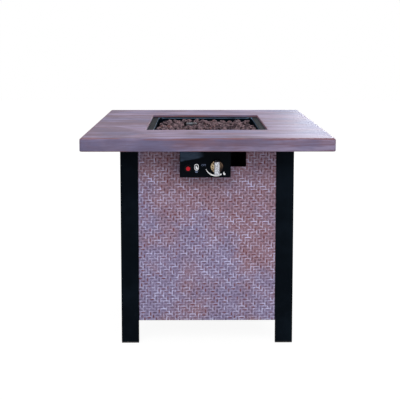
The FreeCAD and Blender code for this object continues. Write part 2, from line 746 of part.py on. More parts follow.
def make_ring_burner():
    """Hollow tube ring with a cross tube, a riser at the middle and a row of flame ports on top."""
    body = new_body("ring_burner")
    section = new_sketch(body, "XZ_Plane")
    circle(section, "burner_radius", "burner_level", "burner_tube")
    circle(section, "burner_radius", "burner_level", "burner_tube - burner_wall")
    revolve(body, section, "Z_Axis")
    cross = new_sketch(body, "YZ_Plane")
    circle(cross, "0", "burner_level", "burner_tube - 1.5")
    pad(body, cross, "2 * (burner_radius - burner_tube + 2)", both=True)
    riser = new_sketch(body, "XY_Plane", "riser_base")
    circle(riser, "0", "0", "riser_radius")
    pad(body, riser, "burner_level - riser_base + burner_tube")
    gas_way = new_sketch(body, "XY_Plane", "riser_base")
    circle(gas_way, "0", "0", "riser_radius - burner_wall")
    pocket(body, gas_way, "burner_level - riser_base + burner_tube - 2", reverse=True)
    port = new_sketch(body, "XY_Plane", "burner_level + burner_tube + 1")
    half_step = 180 / PORTS
    circle(port, f"burner_radius * cos({half_step})", f"burner_radius * sin({half_step})", "port_radius")
    first = pocket(body, port, "burner_tube")
    ring_pattern(body, [first], PORTS)


def make_burner_nut():
    body = new_body("burner_nut")
    nut = new_sketch(body, "XY_Plane", "table_height - ledge_depth - pan_depth + pan_sheet")
    hex_sketch(nut, "0", "0", size("nut_flats"))
    circle(nut, "0", "0", "riser_radius + 0.1")
    pad(body, nut, "14")


# Burner pan: flange on the ledge, rounded tub, holes for the riser, the leads and the rain


def make_burner_pan():
    body = new_body("burner_pan")
    seat = "table_height - ledge_depth"
    flange = new_sketch(body, "XY_Plane", seat)
    rounded_square(flange, "opening_half - pan_gap", "3")
    pad(body, flange, "pan_sheet")
    tub = new_sketch(body, "XY_Plane", seat)
    rounded_square(tub, "pan_opening_half + pan_sheet", "pan_corner + pan_sheet")
    pad(body, tub, "pan_depth", reverse=True)
    base = size("table_height") - size("ledge_depth") - size("pan_depth")
    inside = new_sketch(body, "XY_Plane", f"{seat} + pan_sheet")
    rounded_square(inside, "pan_opening_half", "pan_corner")
    hollow = pocket(body, inside, "pan_depth")
    floor = fillet(body, hollow, "6", lies_at(base + size("pan_sheet")))
    bottom = fillet(body, floor, "6 + pan_sheet", lies_at(base))

    def is_mouth_edge(edge):
        box = edge.BoundBox
        top = size("table_height") - size("ledge_depth") + size("pan_sheet")
        reach = max(abs(box.XMin), abs(box.XMax), abs(box.YMin), abs(box.YMax))
        return lies_at(top)(edge) and reach < size("pan_opening_half") + 0.01

    fillet(body, bottom, "3", is_mouth_edge)
    holes = new_sketch(body, "XY_Plane", seat)
    circle(holes, "0", "0", "riser_radius + 0.3")
    for x in ("-120", "120"):
        for y in ("-120", "120"):
            circle(holes, x, y, "5")
    circle(holes, "-(lead_across + sensor_across) / 2", "hood_behind - 1", "10")
    pocket(body, holes, "pan_depth + 5")


# Igniter group at the burner


def make_igniter_bracket():
    """Upright steel tab on the pan floor whose top shelf holds the electrode and the thermocouple."""
    body = new_body("igniter_bracket")
    floor = "(table_height - ledge_depth - pan_depth + pan_sheet)"
    profile = new_sketch(body, "YZ_Plane", "-hood_across")
    back = "hood_behind + 14"
    polygon(profile, [
        (back, floor), (f"{back} + 16", floor), (f"{back} + 16", f"{floor} + 1.5"),
        (f"{back} + 1.5", f"{floor} + 1.5"), (f"{back} + 1.5", f"{floor} + 31"),
        ("hood_behind - 8", f"{floor} + 31"), ("hood_behind - 8", f"{floor} + 29.5"),
        (back, f"{floor} + 29.5"),
    ])
    pad(body, profile, "32", both=True)
    holes = new_sketch(body, "XY_Plane", f"{floor} + 40")
    circle(holes, "-lead_across", "hood_behind", "3.6")
    circle(holes, "-sensor_across", "hood_behind", "2.4")
    pocket(body, holes, "20")


def make_spark_electrode():
    """Ceramic body with the wire tip that bends over towards the ring."""
    body = new_body("spark_electrode")
    shelf = "(table_height - ledge_depth - pan_depth + pan_sheet + 29.5)"
    ceramic = new_sketch(body, "XY_Plane", f"{shelf} - 8")
    circle(ceramic, "-lead_across", "hood_behind", "3.5")
    pad(body, ceramic, "18")
    collar = new_sketch(body, "XY_Plane", f"{shelf} + 1.5")
    circle(collar, "-lead_across", "hood_behind", "4.8")
    pad(body, collar, "2.5")
    wire = new_sketch(body, "XY_Plane", f"{shelf} + 10")
    circle(wire, "-lead_across", "hood_behind", "1")
    pad(body, wire, "5")


def make_thermocouple():
    """Sensor rod with its hexagon, held by the bracket's shelf."""
    body = new_body("thermocouple")
    shelf = "(table_height - ledge_depth - pan_depth + pan_sheet + 29.5)"
    rod = new_sketch(body, "XY_Plane", f"{shelf} - 10")
    circle(rod, "-sensor_across", "hood_behind", "2.3")
    stick = pad(body, rod, "28")
    top = size("table_height") - size("ledge_depth") - size("pan_depth") + size("pan_sheet") + 47.5
    fillet(body, stick, "2", lies_at(top))
    nut = new_sketch(body, "XY_Plane", f"{shelf} + 1.5")
    hex_sketch(nut, "-sensor_across", "hood_behind", 8)
    pad(body, nut, "3.5")


def make_flame_hood():
    """Perforated stainless cap over electrode and thermocouple, open below and towards the ring."""
    body = new_body("flame_hood")
    base = "(table_height - ledge_depth - pan_depth + pan_sheet + 31)"
    outline = new_sketch(body, "XY_Plane", base)
    rectangle(outline, "-hood_across - 17", "-hood_across + 17", "hood_behind - 9", "hood_behind + 11")
    block = pad(body, outline, "22")
    top = size("table_height") - size("ledge_depth") - size("pan_depth") + size("pan_sheet") + 53
    fillet(body, block, "3", lies_at(top))
    inside = new_sketch(body, "XY_Plane", base)
    rectangle(inside, "-hood_across - 16", "-hood_across + 16", "hood_behind - 8", "hood_behind + 10")
    pocket(body, inside, "21", reverse=True)
    holes = new_sketch(body, "XZ_Plane", "-hood_behind + 10")
    for column in range(4):
        for level in range(2):
            circle(holes, f"-hood_across + {column * 7 - 10.5}", f"{base} + {level * 7 + 7}", "2")
    pocket(body, holes, "25")
    cap = new_sketch(body, "XY_Plane", f"{base} + 23")
    for column in range(4):
        for line in range(2):
            circle(cap, f"-hood_across + {column * 7 - 10.5}", f"hood_behind + {line * 7 - 2.5}", "2")
    pocket(body, cap, "4")


# Rigid tube and leads, held by clips along their whole way


def rounded_path(points, radius):
    """Join points by straight runs and tangent arcs of one radius."""
    edges_out = []
    start = points[0]
    for before, corner, after in zip(points, points[1:], points[2:]):
        into = (corner - before).normalize()
        out = (after - corner).normalize()
        half_turn = into.getAngle(out) / 2
        reach = radius * math.tan(half_turn)
        first = corner - into * reach
        last = corner + out * reach
        inward = (out - into).normalize()
        middle = corner + inward * (radius / math.cos(half_turn) - radius)
        edges_out.append(Part.LineSegment(start, first).toShape())
        edges_out.append(Part.Arc(first, middle, last).toShape())
        start = last
    edges_out.append(Part.LineSegment(start, points[-1]).toShape())
    return Part.Wire(edges_out)


def tube_along(name, points, bend, radius, bore=0):
    """Sweep a round section along a rounded path."""
    path = rounded_path(points, bend)
    direction = points[1] - points[0]

    def swept(section_radius):
        ring = Part.Wire(Part.makeCircle(section_radius, points[0], direction))
        return path.makePipeShell([ring], True, False)

    shape = swept(radius)
    if bore:
        shape = shape.cut(swept(bore))
    piece = doc.addObject("Part::Feature", name)
    piece.Shape = shape
    piece.Label = name
    NODES.append((name, piece))
    print(name, "length", round(path.Length, 1), "bend", bend)


def make_feed_tube():
    level = size("gas_level")
    start = -(size("box_front") - 94)
    end = -(size("mixer_mouth") + 18)
    across = size("knob_across")
    points = [V(across, start, level), V(across, start + 28, level), V(0, end - 28, level), V(0, end, level)]
    tube_along("feed_tube", points, 34, size("feed_radius"), size("feed_radius") - 1)


def make_leads():
    """Ignition lead and thermocouple lead, from the burner down through the pan and forward."""
    level = size("lead_level")
    behind = size("hood_behind")
    across = -size("lead_across")
    shelf = size("table_height") - size("ledge_depth") - size("pan_depth") + size("pan_sheet") + 29.5
    igniter = V(-size("igniter_across"), -(size("box_front") - 46), size("igniter_height"))
    points = [
        V(across, behind, shelf - 8), V(across, behind, level), V(across, -150, level),
        igniter + V(0, 24, 0), igniter,
    ]
    tube_along("ignition_lead", points, 10, size("lead_radius"))
    across = -size("sensor_across")
    port = V(size("knob_across") - 9, -(size("box_front") - 82), size("knob_height") - 9)
    points = [
        V(across, behind, shelf - 10), V(across, behind, level), V(across, -170, level),
        V(port.x - 20, -182, level - 12), V(port.x, -190, port.z), port,
    ]
    tube_along("thermocouple_lead", points, 7, size("sensor_radius"))


def make_lead_clips():
    """Nylon saddles under the pan that hold both leads."""
    body = new_body("lead_clips")
    top = "(table_height - ledge_depth - pan_depth)"
    saddles = new_sketch(body, "XZ_Plane")
    rectangle(saddles, "-lead_across - 6", "-sensor_across + 10", "lead_level - 4", top)
    circle(saddles, "-lead_across", "lead_level", "lead_radius + 0.1")
    circle(saddles, "-sensor_across", "lead_level", "sensor_radius + 0.1")
    clip = pad(body, saddles, "8")
    row = body.newObject("PartDesign::LinearPattern", "LinearPattern")
    row.Originals = [clip]
    row.Direction = (origin_feature(body, "Y_Axis"), [""])
    row.Reversed = True
    row.Length = 130
    row.Occurrences = 3
    body.Tip = row


# Igniter in the control box


def make_igniter_body():
    """Piezo cartridge: round bezel in front of the box, barrel behind it and a terminal."""
    body = new_body("igniter_body")
    bezel = new_sketch(body, "XZ_Plane", "box_front")
    circle(bezel, "-igniter_across", "igniter_height", "barrel_radius + 2.5")
    flange = pad(body, bezel, "2")
    fillet(body, flange, "1", faces_front_at(size("box_front") + 2))
    barrel = new_sketch(body, "XZ_Plane", "box_front")
    circle(barrel, "-igniter_across", "igniter_height", "barrel_radius")
    pad(body, barrel, "36", reverse=True)
    terminal = new_sketch(body, "XZ_Plane", "box_front - 36")
    circle(terminal, "-igniter_across", "igniter_height", "2.4")
    pad(body, terminal, "10", reverse=True)
    bore = new_sketch(body, "XZ_Plane", "box_front + 2")
    circle(bore, "-igniter_across", "igniter_height", "button_radius + running_gap")
    pocket(body, bore, "14")


def make_igniter_nut():
    body = new_body("igniter_nut")
    nut = new_sketch(body, "XZ_Plane", "box_front - box_sheet")
    hex_sketch(nut, "-igniter_across", "igniter_height", 22)
    circle(nut, "-igniter_across", "igniter_height", "barrel_radius + 0.1")
    pad(body, nut, "4", reverse=True)


def make_igniter_button():
    body = new_body("igniter_button")
    face = new_sketch(body, "XZ_Plane", "box_front + 7")
    circle(face, "-igniter_across", "igniter_height", "button_radius")
    button = pad(body, face, "14", reverse=True)
    fillet(body, button, "1", faces_front_at(size("box_front") + 7))


# Knob, stem, collar and spring


def make_control_knob():
    """Rolled disc with a tapered grip bar across it and a D-shaped socket for the stem."""
    body = new_body("control_knob")
    disc = new_sketch(body, "XZ_Plane", "knob_back")
    circle(disc, "knob_across", "knob_height", "knob_radius")
    plate = pad(body, disc, "knob_disc")
    fillet(body, plate, "2.5", faces_front_at(size("knob_back") + size("knob_disc")))
    root = new_sketch(body, "XZ_Plane", "knob_back + knob_disc - 1")
    rectangle(root, "knob_across - grip_width / 2", "knob_across + grip_width / 2",
              "knob_height - grip_length + grip_rise", "knob_height + grip_rise")
    crest = new_sketch(body, "XZ_Plane", "knob_back + knob_disc + grip_height")
    rectangle(crest, "knob_across - grip_width / 2 + 1.5", "knob_across + grip_width / 2 - 1.5",
              "knob_height - grip_length + grip_rise + 2", "knob_height + grip_rise - 2")
    grip = body.newObject("PartDesign::AdditiveLoft", "Loft")
    grip.Profile = root
    grip.Sections = [crest]
    front = size("knob_back") + size("knob_disc") + size("grip_height")

    def is_bar_end(edge):
        box = edge.BoundBox
        return box.YMin < -front + 0.01 and box.YLength > 10

    ends = fillet(body, grip, "3", is_bar_end)
    fillet(body, ends, "1.5", faces_front_at(front))
    socket = new_sketch(body, "XZ_Plane", "knob_back")
    circle(socket, "knob_across", "knob_height", "stem_radius + 0.02")
    pocket(body, socket, "15", reverse=True)
    flat = new_sketch(body, "XZ_Plane", "knob_back + 15")
    rectangle(flat, "knob_across + stem_radius - 0.8", "knob_across + stem_radius + 1",
              "knob_height - stem_radius", "knob_height + stem_radius")
    pad(body, flat, "14", reverse=True)


def make_valve_stem():
    """Round stem with a D flat in the knob and a shoulder that presses the collar."""
    body = new_body("valve_stem")
    rod = new_sketch(body, "XZ_Plane", "knob_back + 14.8")
    circle(rod, "knob_across", "knob_height", "stem_radius")
    pad(body, rod, "54", reverse=True)
    shoulder = new_sketch(body, "XZ_Plane", "box_front - 1.8")
    circle(shoulder, "knob_across", "knob_height", "stem_radius + 1.5")
    pad(body, shoulder, "1.5", reverse=True)
    flat = new_sketch(body, "XZ_Plane", "knob_back + 15")
    rectangle(flat, "knob_across + stem_radius - 0.82", "knob_across + stem_radius + 1",
              "knob_height - stem_radius", "knob_height + stem_radius")
    pocket(body, flat, "14.2")


def make_stem_collar():
    body = new_body("stem_collar")
    collar = new_sketch(body, "XZ_Plane", "box_front - 3.3")
    circle(collar, "knob_across", "knob_height", "coil_radius + 1.4")
    circle(collar, "knob_across", "knob_height", "stem_radius + running_gap")
    pad(body, collar, "1.5", reverse=True)


def arc_between(start, leaving, end):
    """Circle arc from a point and its direction to an end point."""
    chord = end - start
    cosine = leaving.dot(chord) / chord.Length
    corner = start + leaving * (chord.Length / (2 * cosine))
    middle = (start + end + corner * (2 * cosine)) * (1 / (2 + 2 * cosine))
    return Part.Arc(start, middle, end).toShape()


def helix_wire(radius, pitch, turns, foot):
    """Coil about the +Y axis through foot: one biarc for each half turn."""

    def place(turn):
        angle = 2 * math.pi * turn
        return foot + V(radius * math.cos(angle), pitch * turn, radius * math.sin(angle))

    def heading(turn):
        angle = 2 * math.pi * turn
        rise = pitch / (2 * math.pi)
        return V(-radius * math.sin(angle), rise, radius * math.cos(angle)).normalize()

    arcs = []
    for step in range(round(2 * turns)):
        first, last = step / 2, step / 2 + 0.5
        start, end = place(first), place(last)
        leave, arrive = heading(first), heading(last)
        chord = end - start
        along = chord.dot(leave + arrive)
        spread = 2 * (1 - leave.dot(arrive))
        reach = (-along + math.sqrt(along ** 2 + spread * chord.dot(chord))) / spread
        joint = (start + leave * reach + end - arrive * reach) * 0.5
        arcs.append(arc_between(start, leave, joint))
        joint_heading = (end - arrive * reach - start - leave * reach).normalize()
        arcs.append(arc_between(joint, joint_heading, end))
    return Part.Wire(arcs)


def make_stem_spring():
    """Open coil spring between the bonnet and the collar, one unbroken wire."""
    wire = size("coil_wire")
    turns = size("coil_turns")
    back = -(size("box_front") - 15)
    front = -(size("box_front") - 4.8)
    clear = 0.05
    length = back - front - 2 * (wire + clear)
    foot = V(size("knob_across"), front + wire + clear, size("knob_height"))
    path = helix_wire(size("coil_radius"), length / turns, turns, foot)
    start = foot + V(size("coil_radius"), 0, 0)
    rise = length / turns / (2 * math.pi)
    section = Part.Wire(Part.makeCircle(wire, start, V(0, rise, size("coil_radius"))))
    piece = doc.addObject("Part::Feature", "stem_spring")
    piece.Shape = path.makePipeShell([section], True, False)
    piece.Label = "stem_spring"
    NODES.append(("stem_spring", piece))
    print("stem_spring gap between turns", round(length / turns - 2 * wire, 2))


# Base shelf, tank ring and tank screw


def make_base_shelf():
    """Tray on the lower rails with an upturned edge, a round hole and eight vent slots."""
    body = new_body("base_shelf")
    floor = "low_rail_base + rail_sheet"
    outline = new_sketch(body, "XY_Plane", floor)
    square(outline, "shelf_half")
    tray = pad(body, outline, "shelf_fold")
    fillet(body, tray, "3", is_upright)
    inside = new_sketch(body, "XY_Plane", f"{floor} + rail_sheet")
    square(inside, "shelf_half - rail_sheet")
    pocket(body, inside, "shelf_fold", reverse=True)
    hole = new_sketch(body, "XY_Plane", f"{floor} + rail_sheet")
    circle(hole, "0", "0", "shelf_hole")
    pocket(body, hole, "2 * rail_sheet")
    slot = new_sketch(body, "XY_Plane", f"{floor} + rail_sheet")
    rectangle(slot, "155", "163", "-22", "22")
    vent = pocket(body, slot, "2 * rail_sheet")
    ring_pattern(body, [vent], 8)


def make_tank_ring():
    """Rolled ring for the foot of the cylinder, with a welded boss for the tank screw."""
    body = new_body("tank_ring")
    base = "low_rail_base + 2 * rail_sheet"
    ring = new_sketch(body, "XY_Plane", base)
    circle(ring, "0", "0", "ring_bore + ring_wall")
    pad(body, ring, "ring_height")
    boss = new_sketch(body, "XZ_Plane", "-(ring_bore + 8)")
    circle(boss, "0", "clamp_height", "7")
    pad(body, boss, "8")
    bore = new_sketch(body, "XY_Plane", base)
    circle(bore, "0", "0", "ring_bore")
    pocket(body, bore, "ring_height + 1", reverse=True)
    thread = new_sketch(body, "XZ_Plane", "-(ring_bore + 9)")
    circle(thread, "0", "clamp_height", "clamp_radius + running_gap")
    pocket(body, thread, "20", reverse=True)


def make_tank_screw():
    """Wing screw through the ring's boss: its tip clamps the foot of the cylinder."""
    body = new_body("tank_screw")
    tip = new_sketch(body, "XZ_Plane", "-ring_bore - 0.5")
    circle(tip, "0", "clamp_height", "clamp_radius")
    pad(body, tip, "36", reverse=True)
    wing = new_sketch(body, "XZ_Plane", "-ring_bore - 24")
    rectangle(wing, "-15", "15", "clamp_height - 4.5", "clamp_height + 4.5")
    blade = pad(body, wing, "12", reverse=True)

    def is_wing_corner(edge):
        box = edge.BoundBox
        return abs(abs(box.XMin) - 15) < 0.01 and box.XLength < 0.01 and box.ZLength > 5

    fillet(body, blade, "4", is_wing_corner)


# Rear door with two knuckle hinges, a pull and a magnet


def make_rear_door():
    """Flat sheet over the rear opening, with folded edges that go in between the rails."""
    body = new_body("rear_door")
    inner = "-(panel_face - panel_sheet + door_gap)"
    face = new_sketch(body, "XZ_Plane", inner)
    rectangle(face, "-door_left", "door_right", "door_base", "door_top")
    pad(body, face, "panel_sheet", reverse=True)
    fold = new_sketch(body, "XZ_Plane", inner)
    rectangle(fold, "-door_left + 1.5", "door_right", "door_fold_base", "door_fold_top")
    pad(body, fold, "panel_fold")
    inside = new_sketch(body, "XZ_Plane", inner)
    rectangle(inside, "-door_left + 1.5 + panel_sheet", "door_right - panel_sheet",
              "door_fold_base + panel_sheet", "door_fold_top - panel_sheet")
    pocket(body, inside, "panel_fold + 1", reverse=True)


def make_hinge_half(name, on_leg):
    """One leaf of each hinge: two outer knuckles on the leg, the middle one on the door."""
    body = new_body(name)
    for middle in ("hinge_low", "hinge_high"):
        half = "(1.5 * knuckle_length)"
        thick = "hinge_leaf"
        if on_leg:
            spans = ((f"{middle} - {half}", f"{middle} - knuckle_length / 2 - knuckle_gap"),
                     (f"{middle} + knuckle_length / 2 + knuckle_gap", f"{middle} + {half}"))
        else:
            spans = ((f"{middle} - knuckle_length / 2", f"{middle} + knuckle_length / 2"),)
        plate = new_sketch(body, "XY_Plane", f"{middle} - {half}")
        if on_leg:
            rectangle(plate, "hinge_across + knuckle_radius + 0.7", "hinge_across + 24",
                      "base_half", f"base_half + {thick}")
        else:
            rectangle(plate, "door_right", f"door_right + {thick}", "hinge_behind - 17", "hinge_behind - 3.5")
        pad(body, plate, f"2 * {half}")
        for low, high in spans:
            arm = new_sketch(body, "XY_Plane", low)
            if on_leg:
                rectangle(arm, "hinge_across", "hinge_across + knuckle_radius + 1", "base_half + 0.2",
                          f"base_half + {thick}")
            else:
                rectangle(arm, "door_right", f"door_right + {thick}", "hinge_behind - 4", "hinge_behind")
            pad(body, arm, f"({high}) - ({low})")
            roll = new_sketch(body, "XY_Plane", low)
            circle(roll, "hinge_across", "hinge_behind", "knuckle_radius")
            pad(body, roll, f"({high}) - ({low})")
        bore = new_sketch(body, "XY_Plane", f"{middle} - {half} - 1")
        circle(bore, "hinge_across", "hinge_behind", "hinge_pin_radius + running_gap")
        pocket(body, bore, f"2 * {half} + 2", reverse=True)


def make_hinge_pins():
    body = new_body("hinge_pins")
    for middle in ("hinge_low", "hinge_high"):
        base = f"{middle} - 1.5 * knuckle_length"
        rod = new_sketch(body, "XY_Plane", base)
        circle(rod, "hinge_across", "hinge_behind", "hinge_pin_radius")
        pad(body, rod, "3 * knuckle_length")
        head = new_sketch(body, "XY_Plane", f"{middle} + 1.5 * knuckle_length")
        circle(head, "hinge_across", "hinge_behind", "hinge_pin_radius + 1")
        pad(body, head, "1.2")


def make_door_pull():
    """Turned knob: foot, waist and rounded head."""
    body = new_body("door_pull")
    face = "-(panel_face - panel_sheet + door_gap) - panel_sheet"
    for radius, start, length in (("8", face, "3"), ("5", f"{face} - 3", "8"), ("11", f"{face} - 11", "8")):
        disc = new_sketch(body, "XZ_Plane", start)
        circle(disc, "-pull_across", "pull_height", radius)
        last = pad(body, disc, length, reverse=True)
    front = size("panel_face") - size("panel_sheet") + size("door_gap") + size("panel_sheet") + 19

    def is_head_edge(edge):
        box = edge.BoundBox
        return box.YLength < 0.01 and box.YMin > front - 8.1 and box.XLength > 20

    fillet(body, last, "2.5", is_head_edge)


def make_door_magnet():
    """Magnet in its case under the rear upper rail, with a tab behind the rail."""
    body = new_body("door_magnet")
    rail = "(table_height - top_sheet - brace_height - rail_height)"
    case = new_sketch(body, "XZ_Plane", "-(panel_face - panel_sheet - 0.4)")
    rectangle(case, "-20", "20", f"{rail} - 14", f"{rail} - 1")
    pad(body, case, "14")
    tab = new_sketch(body, "XZ_Plane", "-(panel_face - panel_sheet - rail_sheet)")
    rectangle(tab, "-12", "12", f"{rail} - 1", f"{rail} + 20")
    pad(body, tab, "1.5")


def make_catch_plate():
    body = new_body("catch_plate")
    rail = "(table_height - top_sheet - brace_height - rail_height)"
    plate = new_sketch(body, "XZ_Plane", "-(panel_face - panel_sheet + door_gap)")
    rectangle(plate, "-18", "18", f"{rail} - 16", f"{rail} - 0.5")
    pad(body, plate, "0.8")


# Lava rocks: lumps with twenty jittered facets, dropped until they rest on what is below

# Largest first: radius, how many are tried, random places compared for each
ROCK_SIZES = ((22, 50, 24), (18, 60, 24), (15, 70, 20), (12.5, 90, 14), (10.5, 80, 8))
GOLDEN = (1 + math.sqrt(5)) / 2
CORNERS = [V(0, a, b * GOLDEN) for a in (-1, 1) for b in (-1, 1)]
CORNERS += [V(a, b * GOLDEN, 0) for a in (-1, 1) for b in (-1, 1)]
CORNERS += [V(b * GOLDEN, 0, a) for a in (-1, 1) for b in (-1, 1)]


def facet_corners():
    """List the twenty corner triples of the icosahedron: the corners that are all two apart."""
    count = len(CORNERS)
    apart = [[one.distanceToPoint(other) for other in CORNERS] for one in CORNERS]
    near = [[abs(distance - 2) < 0.01 for distance in row] for row in apart]
    triples = []
    for a in range(count):
        for b in range(a + 1, count):
            for c in range(b + 1, count):
                if near[a][b] and near[b][c] and near[a][c]:
                    triples.append((a, b, c))
    return triples


def one_way(vectors):
    """Keep one unit vector of every group that lies along the same line."""
    kept = []
    for vector in vectors:
        unit = V(vector).normalize()
        if all(unit.cross(other).Length > 1e-4 for other in kept):
            kept.append(unit)
    return kept


class Lump:
    """Convex lump: its corners, the directions square to its faces and those along its edges."""

    def __init__(self, corners, sides, edges):
        self.corners = corners
        self.sides = sides
        self.edges = edges

    def moved(self, shift):
        return Lump([corner + shift for corner in self.corners], self.sides, self.edges)

    def reach(self, direction):
        """Least and greatest distance along a direction."""
        distances = [corner.dot(direction) for corner in self.corners]
        return min(distances), max(distances)


def rough_lump(dice, radius, facets):
    """Draw one rock round the origin: an icosahedron with uneven corners, squashed and turned."""
    stretch = V(dice.uniform(0.9, 1.15), dice.uniform(0.8, 1.0), dice.uniform(0.7, 0.9))
    turn = FreeCAD.Rotation(dice.uniform(0, 360), dice.uniform(-25, 25), dice.uniform(-25, 25))
    corners = []
    for corner in CORNERS:
        reach = radius * dice.uniform(0.82, 1.0) / corner.Length
        squashed = V(corner.x * stretch.x, corner.y * stretch.y, corner.z * stretch.z)
        corners.append(turn.multVec(squashed * reach))
    sides = [(corners[b] - corners[a]).cross(corners[c] - corners[a]) for a, b, c in facets]
    pairs = {pair for a, b, c in facets for pair in ((a, b), (b, c), (a, c))}
    return Lump(corners, one_way(sides), one_way([corners[b] - corners[a] for a, b in sorted(pairs)]))


def bar(start, end, radius):
    """Twelve-sided bar that stands for a round tube."""
    along = (end - start).normalize()
    side = V(1, 0, 0) if abs(along.z) > 0.9 else along.cross(V(0, 0, 1)).normalize()
    rise = along.cross(side)
    step = math.pi / 12
    rays = [(side * math.cos(k * step) + rise * math.sin(k * step)) for k in range(24)]
    corners = [point + ray * (radius / math.cos(step)) for point in (start, end) for ray in rays[1::2]]
    edges_across = [ray.cross(along) for ray in rays[0::2]]
    return Lump(corners, one_way(rays[0::2] + [along]), one_way(edges_across + [along]))


def clash_run(lump, other, directions):
    """Find the run of shifts along Z over which a lump would come within the gap of another, or None.

    Two convex lumps are clear where one direction parts them. Along each direction the clash lasts
    over one run of shifts, and the lumps clash over the run that all directions share."""
    low, high, gap = -math.inf, math.inf, size("rock_gap")
    for direction in directions:
        mine, theirs = lump.reach(direction), other.reach(direction)
        start, end = theirs[0] - gap - mine[1], theirs[1] + gap - mine[0]
        if abs(direction.z) < 1e-6:
            if start < 0 < end:
                continue
            return None
        first, last = sorted((start / direction.z, end / direction.z))
        low, high = max(low, first), min(high, last)
        if low >= high:
            return None
    return low, high


def crossings(lump, other):
    """Directions square to one edge of each lump."""
    products = [mine.cross(theirs) for mine in lump.edges for theirs in other.edges]
    return [product.normalize() for product in products if product.Length > 1e-3]


def nearby(lump, others):
    """The lumps that overlap this one seen from above."""
    spans = [lump.reach(V(1, 0, 0)), lump.reach(V(0, 1, 0))]
    found = []
    for other in others:
        across = zip(spans, (other.reach(V(1, 0, 0)), other.reach(V(0, 1, 0))))
        if all(mine[0] < theirs[1] + 1 and theirs[0] < mine[1] + 1 for mine, theirs in across):
            found.append(other)
    return found


def resting_place(lump, floor, others):
    """Lower a lump from above on to the floor or the others: the quick answer, never too low."""
    level = floor + size("rock_gap") - lump.reach(V(0, 0, 1))[0]
    runs = [(other, clash_run(lump, other, lump.sides + other.sides)) for other in nearby(lump, others)]
    below = [(run[1], other) for other, run in runs if run]
    return max([level] + [height for height, other in below]), level, below


def settled(lump, floor, others):
    """Lower a lump from above until it all but touches, edges against edges included."""
    quick, level, below = resting_place(lump, floor, others)
    for height, other in sorted(below, key=lambda item: -item[0]):
        if height <= level:
            break
        run = clash_run(lump, other, lump.sides + other.sides + crossings(lump, other))
        if run:
            level = max(level, run[1])
    return lump.moved(V(0, 0, level))


def burner_outline(floor):
    """Lumps that stand for what is fixed in the pan while the rocks are laid."""
    level = V(0, 0, size("burner_level"))
    foot = V(0, 0, floor)
    tube = size("burner_tube")
    count = 48
    turns = [FreeCAD.Rotation(V(0, 0, 1), 360 * k / count) for k in range(count + 1)]
    ring = [level + turn.multVec(V(size("burner_radius"), 0, 0)) for turn in turns]
    bow = size("burner_radius") * (1 - math.cos(math.pi / count))
    lumps = [bar(a, b, tube + bow) for a, b in zip(ring, ring[1:])]
    lumps.append(bar(ring[count // 2], ring[0], tube))
    lumps.append(bar(foot, level + V(0, 0, tube), size("riser_radius")))
    lumps.append(bar(foot, foot + V(0, 0, 14), size("nut_flats") / math.sqrt(3)))
    hood = V(-size("hood_across"), size("hood_behind"), floor)
    corners = [hood + V(x, y, z) for x in (-19, 19) for y in (-11, 32) for z in (0, 56)]
    axes = [V(1, 0, 0), V(0, 1, 0), V(0, 0, 1)]
    lumps.append(Lump(corners, axes, axes))
    return lumps


def make_lava_rocks():
    """Loose fill: each rock is lowered at the lowest of a few random places until it all but touches."""
    dice = random.Random(28)
    facets = facet_corners()
    floor = size("table_height") - size("ledge_depth") - size("pan_depth") + size("pan_sheet")
    wall = size("pan_opening_half") - size("rock_clearance")
    corner_cut = 2 * wall - (2 - math.sqrt(2)) * size("pan_corner")
    laid = burner_outline(floor)
    fixed = len(laid)

    def fits_pan(lump, radius):
        """Whether a lump is inside the walls and corners, and below the heap's surface."""
        across = max(abs(c) for corner in lump.corners for c in (corner.x, corner.y))
        aslant = max(abs(corner.x) + abs(corner.y) for corner in lump.corners)
        crest = lump.reach(V(0, 0, 1))[1]
        fall = size("heap_fall") if across > wall - radius / 2 else 0
        return across < wall and aslant < corner_cut and crest < size("heap_top") - fall

    for radius, count, tries in ROCK_SIZES:
        for _ in range(count):
            rock = rough_lump(dice, radius * dice.uniform(0.85, 1.0), facets)
            options = []
            for _ in range(tries):
                lump = rock.moved(V(dice.uniform(-wall, wall), dice.uniform(-wall, wall), 0))
                lump = lump.moved(V(0, 0, resting_place(lump, floor, laid)[0]))
                if fits_pan(lump, radius):
                    options.append(lump)
            if options:
                lowest = min(options, key=lambda lump: lump.reach(V(0, 0, 1))[1])
                laid.append(settled(lowest, floor, laid))
    solids = []
    for lump in laid[fixed:]:
        loops = [[lump.corners[k] for k in (a, b, c, a)] for a, b, c in facets]
        solids.append(Part.Solid(Part.Shell([Part.Face(Part.makePolygon(loop)) for loop in loops])))
    piece = doc.addObject("Part::Feature", "lava_rocks")
    piece.Shape = Part.Compound(solids)
    piece.Label = "lava_rocks"
    NODES.append(("lava_rocks", piece))
    print("lava rocks", len(solids))


# Assembly

make_tabletop()
make_top_braces()
for corner, degrees in (("front_left", 0), ("front_right", 90), ("rear_right", 180), ("rear_left", 270)):
    make_leg(f"leg_{corner}", degrees)
make_leg_feet()
for side, degrees, half in (("front", 0, "rail_half"), ("right", 90, "side_rail_half"),
                            ("rear", 180, "rail_half"), ("left", 270, "side_rail_half")):
    make_rail(f"upper_rail_{side}", degrees, True, half, hangs_box=side == "front")
    make_rail(f"lower_rail_{side}", degrees, False, half)
make_rail_bolts()
make_top_screws()
make_panel("front_panel", 0, notched=True)
make_panel("right_panel", 90)
make_panel("left_panel", 270)
make_control_box()
make_box_screws()
make_valve_bonnet()
make_valve_body()
make_inlet_fitting()
make_gas_orifice()
make_tube_nuts()
make_air_mixer()
make_ring_burner()
make_burner_nut()
make_burner_pan()
make_igniter_bracket()
make_spark_electrode()
make_thermocouple()
make_flame_hood()
make_feed_tube()
make_leads()
make_lead_clips()
make_igniter_body()
make_igniter_nut()
make_igniter_button()
make_control_knob()
make_valve_stem()
